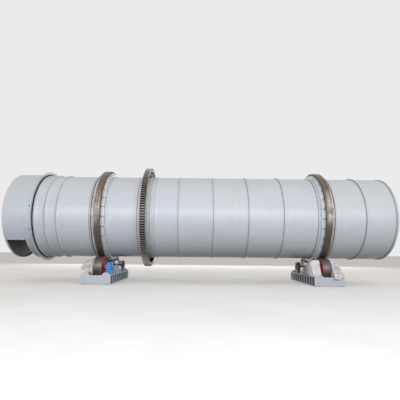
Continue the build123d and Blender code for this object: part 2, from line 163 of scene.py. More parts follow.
def eased(points: Sequence[Point2], radius: float, steps: int = 2) -> Profile:
    """Round the corners of a closed outline.

    Args:
        points: The outline's corners, in order.
        radius: How far from a corner the rounding starts, less where an edge is short.
        steps: Pieces that each rounding is made of.

    Returns:
        The outline with each corner replaced by a short curve.
    """
    rounded: Profile = []
    count = len(points)
    for index in range(count):
        before, corner, after = (Vector(points[(index + n) % count]) for n in (-1, 0, 1))
        if corner.y < TINY:
            rounded.append(tuple(corner))
            continue
        back, ahead = before - corner, after - corner
        reach = min(radius, back.length * 0.45, ahead.length * 0.45)
        start = corner + back.normalized() * reach
        end = corner + ahead.normalized() * reach
        for step in range(steps + 1):
            t = step / steps
            rounded.append(tuple(start * (1 - t) ** 2 + corner * (2 * t * (1 - t)) + end * t**2))
    return rounded


def divided(points: Sequence[Point2], longest: float) -> Profile:
    """Split an outline's long edges.

    Args:
        points: The outline's points, in order.
        longest: The longest edge that is left whole.

    Returns:
        The outline with more points on its long edges.
    """
    split: Profile = []
    for index, point in enumerate(points):
        start, end = Vector(point), Vector(points[(index + 1) % len(points)])
        pieces = max(1, math.ceil((end - start).length / longest))
        split += [tuple(start.lerp(end, n / pieces)) for n in range(pieces)]
    return split


def ring_section(low: float, high: float, inner: float, outer: float) -> Profile:
    """The section of a plain ring or disc between two places along its line."""
    return [(low, inner), (low, outer), (high, outer), (high, inner)]


def make_object(name: str, mesh: Mesh, materials: Sequence[Material]) -> Piece:
    """Put a mesh in the scene at the origin.

    Args:
        name: The piece's name.
        mesh: Its mesh, in the row frame.
        materials: Its materials, in the order of the faces' material numbers.

    Returns:
        The new object.
    """
    mesh.name = name
    if mesh.materials:
        mesh.materials.clear()
    for material in materials:
        mesh.materials.append(material)
    piece = bpy.data.objects.new(name, mesh)
    bpy.context.scene.collection.objects.link(piece)
    return piece


def close_mesh(name: str, bm: bmesh.types.BMesh, materials: Sequence[Material]) -> Piece:
    """Shade a finished bmesh smooth between its sharp edges and make an object of it.

    Args:
        name: The piece's name.
        bm: The bmesh, which is freed here.
        materials: The piece's materials.

    Returns:
        The new object.
    """
    for face in bm.faces:
        face.smooth = True
    for edge in bm.edges:
        edge.smooth = len(edge.link_faces) == 2 and edge.calc_face_angle(0) < SHARP_ANGLE
    mesh = bpy.data.meshes.new(name)
    bm.to_mesh(mesh)
    bm.free()
    return make_object(name, mesh, materials)


def evaluated_mesh(piece: Piece) -> Mesh:
    """A new mesh of an object as its modifiers leave it."""
    bpy.context.view_layer.update()
    return bpy.data.meshes.new_from_object(piece.evaluated_get(bpy.context.evaluated_depsgraph_get()))


def node_copy(node: str, weld: float) -> bmesh.types.BMesh:
    """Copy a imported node's mesh and join its doubled points.

    Args:
        node: The node's name.
        weld: How far apart doubled points are at most.

    Returns:
        The copy as a bmesh.
    """
    bm = bmesh.new()
    bm.from_mesh(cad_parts[node].data)
    bmesh.ops.remove_doubles(bm, verts=bm.verts, dist=weld)
    return bm


def turned(
    name: str,
    line: Turning,
    profile: Sequence[Point2],
    materials: Sequence[Material],
    segments: int = 160,
    slot_at: Callable[[Vector, float], int] | None = None,
    ripple: Callable[[float, float], float] | None = None,
) -> Piece:
    """Turn a closed outline round a line.

    Args:
        name: The piece's name.
        line: The line to go round.
        profile: (run along the line, radius) points of a closed outline.
        materials: The piece's materials.
        segments: Steps round the line.
        slot_at: Gives a face's material number from its normal and its middle's radius.
        ripple: Gives a radial offset from the run along the line and the angle.

    Returns:
        The finished object.
    """
    bm = bmesh.new()
    rings: list[list[bmesh.types.BMVert]] = []
    for run, radius in profile:
        if radius < TINY:
            rings.append([bm.verts.new(line.point(run, 0, 0))] * segments)
            continue
        ring = []
        for step in range(segments):
            angle = FULL_TURN * step / segments
            offset = ripple(run, angle) if ripple else 0.0
            ring.append(bm.verts.new(line.point(run, radius + offset, angle)))
        rings.append(ring)
    for index, ring in enumerate(rings):
        following = rings[(index + 1) % len(rings)]
        for step in range(segments):
            ahead = (step + 1) % segments
            corners = [ring[step], ring[ahead], following[ahead], following[step]]
            unique = list(dict.fromkeys(corners))
            if len(unique) > 2:
                bm.faces.new(unique)
    bmesh.ops.recalc_face_normals(bm, faces=bm.faces)
    if slot_at:
        for face in bm.faces:
            middle = face.calc_center_median() - line.origin
            radius = (middle - line.along * middle.dot(line.along)).length
            face.material_index = slot_at(face.normal, radius)
    return close_mesh(name, bm, materials)


def extruded(
    name: str,
    outline: Sequence[Point2],
    low: float,
    high: float,
    place: Point2,
    material: Material,
    bevel: float = 0.003,
    along_y: bool = False,
) -> Piece:
    """Extrude an outline along X, or along Y, and ease its edges.

    Args:
        name: The piece's name.
        outline: (y, z) points from the place, or (x, z) points for a piece along Y, in order.
        low: Where it starts along its way.
        high: Where it ends along its way.
        place: The y and z, or x and z, that the outline is drawn from.
        material: The piece's material.
        bevel: Size of the eased edges.
        along_y: Whether it runs along Y.

    Returns:
        The finished object.
    """
    bm = bmesh.new()
    ends = []
    for run in (low, high):
        ring = []
        for across, up in outline:
            spot = (place[0] + across, run) if along_y else (run, place[0] + across)
            ring.append(bm.verts.new((*spot, place[1] + up)))
        ends.append(ring)
    caps = [bm.faces.new(ends[0]), bm.faces.new(ends[1])]
    for index in range(len(outline)):
        ahead = (index + 1) % len(outline)
        bm.faces.new((ends[0][index], ends[0][ahead], ends[1][ahead], ends[1][index]))
    bmesh.ops.recalc_face_normals(bm, faces=bm.faces)
    rims = [edge for cap in caps for edge in cap.edges]
    bmesh.ops.bevel(bm, geom=rims, offset=bevel, segments=2, profile=0.5, affect="EDGES")
    return close_mesh(name, bm, [material])


def cut_out(piece: Piece, cutter: Piece) -> Piece:
    """Cut one closed piece out of another and shade the result again.

    Args:
        piece: The piece to cut, which is used up.
        cutter: What is cut out of it, which is used up.

    Returns:
        The cut piece.
    """
    modifier = piece.modifiers.new("cut", "BOOLEAN")
    modifier.operation = "DIFFERENCE"
    modifier.solver = "EXACT"
    modifier.object = cutter
    mesh = evaluated_mesh(piece)
    name, materials = piece.name, list(piece.data.materials)
    for used in (piece, cutter):
        bpy.data.objects.remove(used)
    bm = bmesh.new()
    bm.from_mesh(mesh)
    bpy.data.meshes.remove(mesh)
    return close_mesh(name, bm, materials)


def join(name: str, pieces: Sequence[Piece]) -> Piece:
    """Join pieces of one body into one object.

    Args:
        name: The joined piece's name.
        pieces: The objects, which are used up.

    Returns:
        The joined object.
    """
    with bpy.context.temp_override(active_object=pieces[0], selected_editable_objects=list(pieces)):
        bpy.ops.object.join()
    pieces[0].name = name
    pieces[0].data.name = name
    return pieces[0]


# Node trees for what repeats


class NodeSheet:
    """A node tree that is filled node by node."""

    def __init__(self, tree: bpy.types.NodeTree) -> None:
        """Work on this tree."""
        self.tree = tree

    def add(self, kind: str, inputs: Inputs | None = None, **settings: object) -> Node:
        """Add a node with settings, values and links.

        Args:
            kind: The node's type.
            inputs: A value or an output socket for each named or numbered input.
            **settings: The node's own properties.

        Returns:
            The new node.
        """
        node = self.tree.nodes.new(kind)
        for title, value in settings.items():
            setattr(node, title, value)
        for title, value in (inputs or {}).items():
            if isinstance(value, Socket):
                self.tree.links.new(value, node.inputs[title])
            else:
                node.inputs[title].default_value = value
        return node

    def get(self, kind: str, inputs: Inputs | None = None, **settings: object) -> Socket:
        """Add a node and give its first output."""
        return self.add(kind, inputs, **settings).outputs[0]


class PartTree(NodeSheet):
    """A Geometry Nodes tree with named inputs that ends in Realize Instances and Set Material."""

    def __init__(self, name: str, inputs: Sequence[tuple[str, str]]) -> None:
        """Start a tree.

        Args:
            name: The tree's name.
            inputs: (name, socket type) of each input after the geometry.
        """
        super().__init__(bpy.data.node_groups.new(name, "GeometryNodeTree"))
        self.tree.is_modifier = True
        geometry = ("Geometry", "NodeSocketGeometry")
        for title, kind in (geometry, *inputs, ("Material", "NodeSocketMaterial")):
            self.tree.interface.new_socket(title, in_out="INPUT", socket_type=kind)
        self.tree.interface.new_socket(geometry[0], in_out="OUTPUT", socket_type=geometry[1])
        self.given = self.tree.nodes.new("NodeGroupInput").outputs

    def facing(self) -> Socket:
        """The turn that points Z the way each mark faces."""
        way = self.add("GeometryNodeInputNamedAttribute", {"Name": "facing"}, data_type="FLOAT_VECTOR")
        return self.get("FunctionNodeAlignRotationToVector", {"Vector": way.outputs["Attribute"]}, axis="Z")

    def repeat(self, part: Socket, turn: Socket, **more: Socket) -> None:
        """Put a part at each mark and end the tree."""
        inputs = {"Points": self.given["Geometry"], "Instance": part, "Rotation": turn, **more}
        self.end(self.get("GeometryNodeInstanceOnPoints", inputs))

    def end(self, geometry: Socket) -> None:
        """Realize the instances, set the material and close the tree."""
        real = self.get("GeometryNodeRealizeInstances", {"Geometry": geometry})
        dressed = self.get("GeometryNodeSetMaterial", {"Geometry": real, "Material": self.given["Material"]})
        self.add("NodeGroupOutput", {"Geometry": dressed})

    def make(self, name: str, start: Piece, material: Material, values: dict[str, float | int]) -> Piece:
        """Run the tree on a starting object and keep the result as a plain mesh.

        Args:
            name: The new piece's name.
            start: The object that the tree works on, which is used up.
            material: The material of what it makes.
            values: The tree's inputs by name.

        Returns:
            The new piece, with no modifier left.
        """
        modifier = start.modifiers.new("repeat", "NODES")
        modifier.node_group = self.tree
        items = self.tree.interface.items_tree
        sockets = {item.name: item.identifier for item in items if item.in_out == "INPUT"}
        for title, value in {"Material": material, **values}.items():
            modifier[sockets[title]] = value
        mesh = evaluated_mesh(start)
        bpy.data.objects.remove(start)
        for polygon in mesh.polygons:
            polygon.material_index = 0
        return make_object(name, mesh, [material])


def marks(name: str, places: Marks) -> Piece:
    """Loose points that each hold the way they face.

    Args:
        name: The object's name.
        places: (point, facing) pairs.

    Returns:
        An object for a tree to work on.
    """
    mesh = bpy.data.meshes.new(name)
    mesh.from_pydata([point for point, _ in places], [], [])
    facing = mesh.attributes.new("facing", "FLOAT_VECTOR", "POINT")
    for index, (_, way) in enumerate(places):
        facing.data[index].vector = way
    return make_object(name, mesh, [])


def path(name: str, points: Sequence[Vector]) -> Piece:
    """A line of edges through points, for a tree to follow.

    Args:
        name: The object's name.
        points: The points in order.

    Returns:
        An object for a tree to work on.
    """
    mesh = bpy.data.meshes.new(name)
    mesh.from_pydata(list(points), [(n, n + 1) for n in range(len(points) - 1)], [])
    return make_object(name, mesh, [])


def bolt_tree() -> PartTree:
    """A hexagon head on a round washer at each mark, square to the way it faces."""
    sizes = ("Head Radius", "Head Height", "Washer Radius", "Washer Height")
    tree = PartTree("hexagon_bolts", [(title, "NodeSocketFloat") for title in sizes])
    given = tree.given
    washer, head = (
        tree.get(
            "GeometryNodeMeshCylinder",
            {"Vertices": sides, "Radius": given[f"{part} Radius"], "Depth": given[f"{part} Height"]},
        )
        for part, sides in (("Washer", 18), ("Head", 6))
    )
    half = tree.get("ShaderNodeMath", {0: given["Head Height"], 1: 0.5}, operation="MULTIPLY")
    lift = tree.get("ShaderNodeMath", {0: half, 1: given["Washer Height"]}, operation="ADD")
    up = tree.get("ShaderNodeCombineXYZ", {"Z": lift})
    raised = tree.get("GeometryNodeTransform", {"Geometry": head, "Translation": up})
    bolt = tree.add("GeometryNodeJoinGeometry")
    for part in (washer, raised):
        tree.tree.links.new(part, bolt.inputs[0])
    tree.repeat(bolt.outputs[0], tree.facing())
    return tree


def block_tree() -> PartTree:
    """A flat block at each mark, with its height along the way it faces and its length along X."""
    sizes = [(title, "NodeSocketFloat") for title in ("Length", "Width", "Height", "Uneven")]
    tree = PartTree("flat_blocks", [*sizes, ("Seed", "NodeSocketInt")])
    given = tree.given
    size = tree.get("ShaderNodeCombineXYZ", {"X": given["Length"], "Y": given["Width"], "Z": given["Height"]})
    block = tree.get("GeometryNodeMeshCube", {"Size": size})
    level = {"Rotation": tree.facing(), "Vector": (1.0, 0.0, 0.0)}
    turn = tree.get("FunctionNodeAlignRotationToVector", level, axis="X", pivot_axis="Z")
    least = tree.get("ShaderNodeMath", {0: 1.0, 1: given["Uneven"]}, operation="SUBTRACT")
    draw = {"Min": least, "Max": 1.0, "Seed": given["Seed"]}
    stretch = tree.add("FunctionNodeRandomValue", draw, data_type="FLOAT")
    drawn = next(socket for socket in stretch.outputs if socket.enabled)
    tree.repeat(block, turn, Scale=tree.get("ShaderNodeCombineXYZ", {"X": 1.0, "Y": drawn, "Z": 1.0}))
    return tree


def bead_tree() -> PartTree:
    """A weld bead along a path, with the small even ripples of a welder's hand."""
    tree = PartTree("weld_beads", [("Bead Radius", "NodeSocketFloat"), ("Ripple", "NodeSocketFloat")])
    line = tree.get("GeometryNodeMeshToCurve", {"Mesh": tree.given["Geometry"]})
    round_section = {"Resolution": 6, "Radius": tree.given["Bead Radius"]}
    section = tree.get("GeometryNodeCurvePrimitiveCircle", round_section)
    bead = tree.get("GeometryNodeCurveToMesh", {"Curve": line, "Profile Curve": section})
    grain = tree.get("ShaderNodeTexNoise", {"Scale": 9.0, "Detail": 2.0}, noise_dimensions="3D")
    centred = tree.get("ShaderNodeMath", {0: grain, 1: 0.5}, operation="SUBTRACT")
    amount = tree.get("ShaderNodeMath", {0: centred, 1: tree.given["Ripple"]}, operation="MULTIPLY")
    along_normal = {0: tree.get("GeometryNodeInputNormal"), "Scale": amount}
    push = tree.get("ShaderNodeVectorMath", along_normal, operation="SCALE")
    tree.end(tree.get("GeometryNodeSetPosition", {"Geometry": bead, "Offset": push}))
    return tree


@dataclass
class Repeats:
    """The trees that every sub-assembly shares."""

    bolts: PartTree = field(default_factory=bolt_tree)
    blocks: PartTree = field(default_factory=block_tree)
    beads: PartTree = field(default_factory=bead_tree)


# Finishes


def colour(code: str) -> tuple[float, float, float, float]:
    """The linear colour of an sRGB hex code.

    Args:
        code: Six hex digits.

    Returns:
        Red, green, blue and alpha for a socket.
    """
    parts = [int(code[n : n + 2], 16) / 255 for n in (0, 2, 4)]
    linear = [part / 12.92 if part <= 0.04045 else ((part + 0.055) / 1.055) ** 2.4 for part in parts]
    return (*linear, 1.0)


@dataclass(frozen=True)
class Patches:
    """Patches of noise: cycles a metre, octaves, the levels they lie between and their strength."""

    pitch: float | tuple[float, float, float]
    detail: float
    low: float
    high: float
    strength: float = 1.0
    rough: float = 0.55


class ShaderSheet(NodeSheet):
    """A material's shader tree on Object coordinates, with the few patterns that the finishes share."""

    def __init__(self, name: str) -> None:
        """Start an empty material.

        Args:
            name: The material's name.
        """
        self.material = bpy.data.materials.new(name)
        self.material.use_nodes = True
        super().__init__(self.material.node_tree)
        self.tree.nodes.clear()
        self.place = self.add("ShaderNodeTexCoord").outputs["Object"]

    def axes(self) -> bpy.types.NodeOutputs:
        """The place's X, Y and Z."""
        return self.add("ShaderNodeSeparateXYZ", {"Vector": self.place}).outputs

    def noise(self, pitch: float | Sequence[float], detail: float, rough: float = 0.55) -> Socket:
        """Noise from 0 to 1.

        Args:
            pitch: Cycles a metre, or one for each axis.
            detail: Octaves.
            rough: How strong the small octaves are.

        Returns:
            The noise.
        """
        scale = (pitch,) * 3 if isinstance(pitch, float) else tuple(pitch)
        scaled = self.get("ShaderNodeMapping", {"Vector": self.place, "Scale": scale})
        pattern = {"Vector": scaled, "Scale": 1.0, "Detail": detail, "Roughness": rough}
        return self.get("ShaderNodeTexNoise", pattern)

    def span(
        self, value: Socket, low: float, high: float, to_low: float = 0.0, to_high: float = 1.0
    ) -> Socket:
        """Map a range onto another, held at both ends."""
        sizes = {"Value": value, "From Min": low, "From Max": high, "To Min": to_low, "To Max": to_high}
        return self.get("ShaderNodeMapRange", sizes, clamp=True)

    def maths(self, operation: str, first: object, second: object = 0.0) -> Socket:
        """One arithmetic step on numbers or sockets."""
        return self.get("ShaderNodeMath", {0: first, 1: second}, operation=operation)

    def mix(self, amount: Socket, first: object, second: object) -> Socket:
        """Mix a share of the second colour into the first."""
        return self.add("ShaderNodeMix", {0: amount, 6: first, 7: second}, data_type="RGBA").outputs[2]

    def cover(self, patches: Patches) -> Socket:
        """How much patches cover, from 0 to their strength."""
        pattern = self.noise(patches.pitch, patches.detail, patches.rough)
        return self.span(pattern, patches.low, patches.high, 0.0, patches.strength)

    def stain(self, base: object, code: str, patches: Patches) -> Socket:
        """Lay a colour over another in patches."""
        return self.mix(self.cover(patches), base, colour(code))

    def band(
        self, middle: float, reach: float, strength: float, flat: float = 0.0, below: float | None = None
    ) -> Socket:
        """A soft band across X.

        Args:
            middle: Where it is strongest.
            reach: How far it goes to either side.
            strength: Its strength in the middle.
            flat: How far to either side it keeps that strength.
            below: The height that it stays under, if there is one.

        Returns:
            The strength, which falls to 0 at the reach.
        """
        axes = self.axes()
        away = self.maths("ABSOLUTE", self.maths("SUBTRACT", axes["X"], middle))
        amount = self.span(away, flat, reach, strength, 0.0)
        if below is None:
            return amount
        return self.maths("MULTIPLY", amount, self.span(axes["Z"], below - 0.001, below, 1.0, 0.0))

    def bump(
        self, height: Socket, depth: float, normal: Socket | None = None, strength: float = 1.0
    ) -> Socket:
        """Bump from a height pattern.

        Args:
            height: The pattern, from 0 to 1.
            depth: The real depth of the pattern, in metres.
            normal: The normal of the bump below it, if there is one.
            strength: How much of it counts.

        Returns:
            The bumped normal.
        """
        inputs = {"Height": height, "Distance": depth, "Strength": strength}
        if normal is not None:
            inputs["Normal"] = normal
        return self.get("ShaderNodeBump", inputs)

    def finish(
        self, base: Socket, rough: object, normal: Socket, metal: object = 0.0, **fixed: float
    ) -> Material:
        """Close the tree with the shader.

        Args:
            base: The base colour.
            rough: The roughness.
            normal: The normal.
            metal: How metallic it is.
            **fixed: Numbers for the shader's own sockets, with _ for a space.

        Returns:
            The finished material.
        """
        inputs = {"Base Color": base, "Roughness": rough, "Metallic": metal, "Normal": normal}
        inputs |= {title.replace("_", " "): value for title, value in fixed.items()}
        self.add("ShaderNodeOutputMaterial", {"Surface": self.get("ShaderNodeBsdfPrincipled", inputs)})
        return self.material


@dataclass(frozen=True)
class SprayedEnamel:
    """Air-sprayed enamel on rolled or welded plate: slight cloudiness, dust, orange peel and scuffs, with
    optional bands of painted shade.
    """

    name: str
    tone: str
    cloud: str
    dust: str = "A39C92"
    gloss: float = 0.36
    dustiness: float = 0.2
    chips: float = 0.0
    # Bands of painted shade: (middle, reach, strength, and optionally flat and below) of each
    painted_shade: tuple[tuple[float, ...], ...] = ()
    painted_shade_tone: str = "54595F"
    scuff_tone: str = "E3E6E8"
    primer_tone: str = "6A5A4E"
    plate_wave: float = 0.0015
    peel_depth: float = 0.0002

    def make(self) -> Material:
        """Build the material.

        Returns:
            The finished material.
        """
        sheet = ShaderSheet(self.name)
        stains = [
            (self.cloud, Patches((0.35, 0.9, 0.9), 4.0, 0.35, 0.68)),
            (self.cloud, Patches((2.2, 0.5, 0.5), 3.0, 0.45, 0.7, 0.35)),
            (self.dust, Patches((5.0, 5.0, 2.0), 6.0, 0.5, 0.75, self.dustiness, 0.65)),
            (self.scuff_tone, Patches((3.0, 34.0, 34.0), 4.0, 0.7, 0.78, 0.3, 0.6)),
        ]
        if self.chips:
            bare = Patches(26.0, 5.0, 0.78 - self.chips, 0.8 - self.chips, rough=0.7)
            stains.append((self.primer_tone, bare))
        base = colour(self.tone)
        for code, patches in stains:
            base = sheet.stain(base, code, patches)
        # Painted shade: each band darkens the colour towards the shade tone, where shade falls by ribs, edges
        # and pockets
        for line in self.painted_shade:
            base = sheet.mix(sheet.band(*line), base, colour(self.painted_shade_tone))
        rough = sheet.span(sheet.noise(1.4, 5.0), 0.3, 0.7, self.gloss - 0.05, self.gloss + 0.08)
        wave = sheet.bump(sheet.noise((1.3, 1.6, 1.6), 2.0), self.plate_wave)
        peel = sheet.bump(sheet.noise(260.0, 2.0), self.peel_depth, wave, 0.5)
        return sheet.finish(base, rough, peel, IOR=1.5, Coat_Weight=0.08, Coat_Roughness=0.25)


@dataclass(frozen=True)
class TurnedSteel:
    """Machined steel that has stood in a yard: fine rings from the lathe under a thin brown rust film."""

    name: str
    bright: str
    film: str
    deep: str
    rings_along: tuple[int, int, int]
    metal: float = 0.75
    gloss: float = 0.42
    rust: float = 0.5
    index: float = 2.5
    highlight_bands: tuple[tuple[float, float, float, float, float], ...] = ()
    highlight_tone: str = "D9C9BB"
    pit_tone: str = "5A4030"
    brown: str = ""
    lower_shade: str = ""
    ring_depth: float = 0.0006
    pit_depth: float = 0.0008
    band_fade: float = 0.35

    def make(self) -> Material:
        """Build the material.

        Returns:
            The finished material.
        """
        sheet = ShaderSheet(self.name)
        rings = sheet.noise([170.0 if part else 0.7 for part in self.rings_along], 3.0, 0.6)
        wide = sheet.noise([14.0 if part else 0.5 for part in self.rings_along], 3.0, 0.6)
        base = sheet.mix(sheet.span(wide, 0.3, 0.7), colour(self.film), colour(self.bright))
        base = sheet.mix(sheet.span(rings, 0.35, 0.7, 0.0, 0.4), base, colour(self.deep))
        patches = sheet.cover(Patches(2.4, 8.0, 0.46, 0.66, self.rust, 0.68))
        base = sheet.mix(patches, base, colour(self.deep))
        height = sheet.axes()["Z"]
        # Browner towards the top, and darker towards the bottom as painted shade
        if self.brown:
            base = sheet.mix(sheet.span(height, 2.2, 3.3, 0.0, 0.75), base, colour(self.brown))
            base = sheet.mix(sheet.span(height, 1.3, 2.3, 0.7, 0.0), base, colour(self.lower_shade))
        # Painted highlight over polished steel: bright bands, broken up by noise and kept between a lowest
        # and a highest height
        highlight_breakup = sheet.span(sheet.noise((3.0, 3.4, 3.4), 6.0, 0.7), 0.4, 0.56, 0.25, 1.0)
        for middle, reach, strength, low, high in self.highlight_bands:
            amount = sheet.maths("MULTIPLY", highlight_breakup, sheet.band(middle, reach, strength))
            for start, end in ((low, low + self.band_fade), (high, high - self.band_fade)):
                amount = sheet.maths("MULTIPLY", amount, sheet.span(height, start, end))
            base = sheet.mix(amount, base, colour(self.highlight_tone))
        pits = sheet.noise(70.0, 5.0, 0.7)
        base = sheet.mix(sheet.span(pits, 0.62, 0.72, 0.0, 0.5), base, colour(self.pit_tone))
        worn = sheet.maths("SUBTRACT", self.metal, sheet.maths("MULTIPLY", patches, 0.6))
        rough = sheet.span(patches, 0.0, 1.0, self.gloss, self.gloss + 0.22)
        grooves = sheet.bump(rings, self.ring_depth, None, 0.5)
        return sheet.finish(base, rough, sheet.bump(pits, self.pit_depth, grooves, 0.4), worn, IOR=self.index)


@dataclass(frozen=True)
class CastSteel:
    """Sand-cast steel: a fine rough skin, dark scale and brown rust in the low places."""

    name: str
    tone: str
    scale_tone: str
    rust_tone: str
    metal: float = 0.45
    gloss: float = 0.5
    rust: float = 0.5
    skin_depth: float = 0.0008

    def make(self) -> Material:
        """Build the material.

        Returns:
            The finished material.
        """
        sheet = ShaderSheet(self.name)
        base = sheet.stain(colour(self.tone), self.scale_tone, Patches(3.2, 6.0, 0.38, 0.64, rough=0.62))
        rusted = sheet.cover(Patches(9.0, 7.0, 0.5, 0.66, self.rust, 0.7))
        base = sheet.mix(rusted, base, colour(self.rust_tone))
        skin = sheet.noise(180.0, 4.0, 0.6)
        base = sheet.mix(sheet.span(skin, 0.55, 0.75, 0.0, 0.3), base, colour(self.scale_tone))
        rough = sheet.span(rusted, 0.0, 0.5, self.gloss, self.gloss + 0.25)
        metal = sheet.span(rusted, 0.0, 0.5, self.metal, self.metal * 0.4)
        return sheet.finish(base, rough, sheet.bump(skin, self.skin_depth), metal, IOR=2.2)


@dataclass(frozen=True)
class GearSteel:
    """Cut gear teeth: near-black grease with painted shade in the gaps, tips rubbed bare, dull cast sides."""

    line_height: float
    middle: float
    half_width: float
    tip_radius: float
    depth: float = 0.06
    name: str = "tooth_steel"
    grease_and_shade: tuple[str, str] = ("0A0908", "19130F")
    tips: tuple[str, str] = ("948A7F", "6C6157")
    sides: tuple[str, str] = ("A7A49E", "8A8177")
    skin_depth: float = 0.0006

    def make(self) -> Material:
        """Build the material.

        Returns:
            The finished material.
        """
        sheet = ShaderSheet(self.name)
        axes = sheet.axes()
        rise = sheet.maths("SUBTRACT", axes["Z"], self.line_height)
        squares = [sheet.maths("MULTIPLY", part, part) for part in (axes["Y"], rise)]
        radius = sheet.maths("SQRT", sheet.maths("ADD", *squares))
        root = self.tip_radius - self.depth
        out = sheet.span(radius, root, self.tip_radius - 0.003)
        blotch = sheet.cover(Patches(7.0, 6.0, 0.4, 0.66, rough=0.65))
        gaps_dark, bare, cast = (
            sheet.mix(blotch, colour(first), colour(second))
            for first, second in (self.grease_and_shade, self.tips, self.sides)
        )
        # Gaps and flanks are near black, grease with painted shade, up to the lighter tips
        teeth = sheet.mix(sheet.span(out, 0.82, 0.96), gaps_dark, bare)
        run = sheet.maths("ABSOLUTE", sheet.maths("SUBTRACT", axes["X"], self.middle))
        side = sheet.span(run, self.half_width - 0.002, self.half_width - 0.0005)
        rim = sheet.span(radius, root - 0.02, root + 0.01, 1.0, 0.35)
        base = sheet.mix(sheet.maths("MULTIPLY", side, rim), teeth, cast)
        skin = sheet.bump(sheet.noise(180.0, 4.0, 0.6), self.skin_depth)
        return sheet.finish(base, sheet.span(out, 0.0, 1.0, 0.45, 0.38), skin, 0.25, IOR=1.8)


@dataclass(frozen=True)
class MouldedRubber:
    """Moulded sealing rubber, dull black with grey bloom."""

    name: str = "seal_rubber"
    tone: str = "24272A"
    bloom_tone: str = "3C4146"
    grain_depth: float = 0.0002

    def make(self) -> Material:
        """Build the material.

        Returns:
            The finished material.
        """
        sheet = ShaderSheet(self.name)
        bloom = sheet.cover(Patches((4.0, 9.0, 9.0), 5.0, 0.4, 0.7, 0.7))
        base = sheet.mix(bloom, colour(self.tone), colour(self.bloom_tone))
        grain = sheet.bump(sheet.noise(300.0, 2.0), self.grain_depth)
        return sheet.finish(base, sheet.span(bloom, 0.0, 0.7, 0.62, 0.8), grain, IOR=1.5)


@dataclass(frozen=True)
class WovenSheet:
    """Woven packing cloth, off-white, with its tapes' weave and grey handling marks."""

    name: str = "wrap_cloth"
    tone: str = "E2DBDC"
    marked: str = "A8A09C"
    marking: float = 0.5
    mark_pitch: float = 6.0
    gap_tone: str = "9A928A"
    tape: float = 0.004
    crease_depth: float = 0.008
    thread_depth: float = 0.0006

    def make(self) -> Material:
        """Build the material.

        Returns:
            The finished material.
        """
        sheet = ShaderSheet(self.name)
        flat = sheet.get("ShaderNodeUVMap", uv_map="cut")
        wave = {"Vector": flat, "Scale": 1 / (self.tape * FULL_TURN), "Distortion": 0.4, "Detail": 1.0}
        weave = [sheet.add("ShaderNodeTexWave", wave, bands_direction=way).outputs["Fac"] for way in "XY"]
        cloth = sheet.maths("MAXIMUM", *weave)
        handled = Patches(self.mark_pitch, 6.0, 0.44, 0.66, self.marking, 0.62)
        base = sheet.stain(colour(self.tone), self.marked, handled)
        base = sheet.mix(sheet.span(cloth, 0.0, 1.0, 0.12, 0.0), base, colour(self.gap_tone))
        creases = sheet.bump(sheet.noise(16.0, 4.0, 0.6), self.crease_depth, None, 0.5)
        threads = sheet.bump(cloth, self.thread_depth, creases, 0.6)
        return sheet.finish(base, 0.72, threads, IOR=1.45, Sheen_Weight=0.15, Sheen_Roughness=0.5)


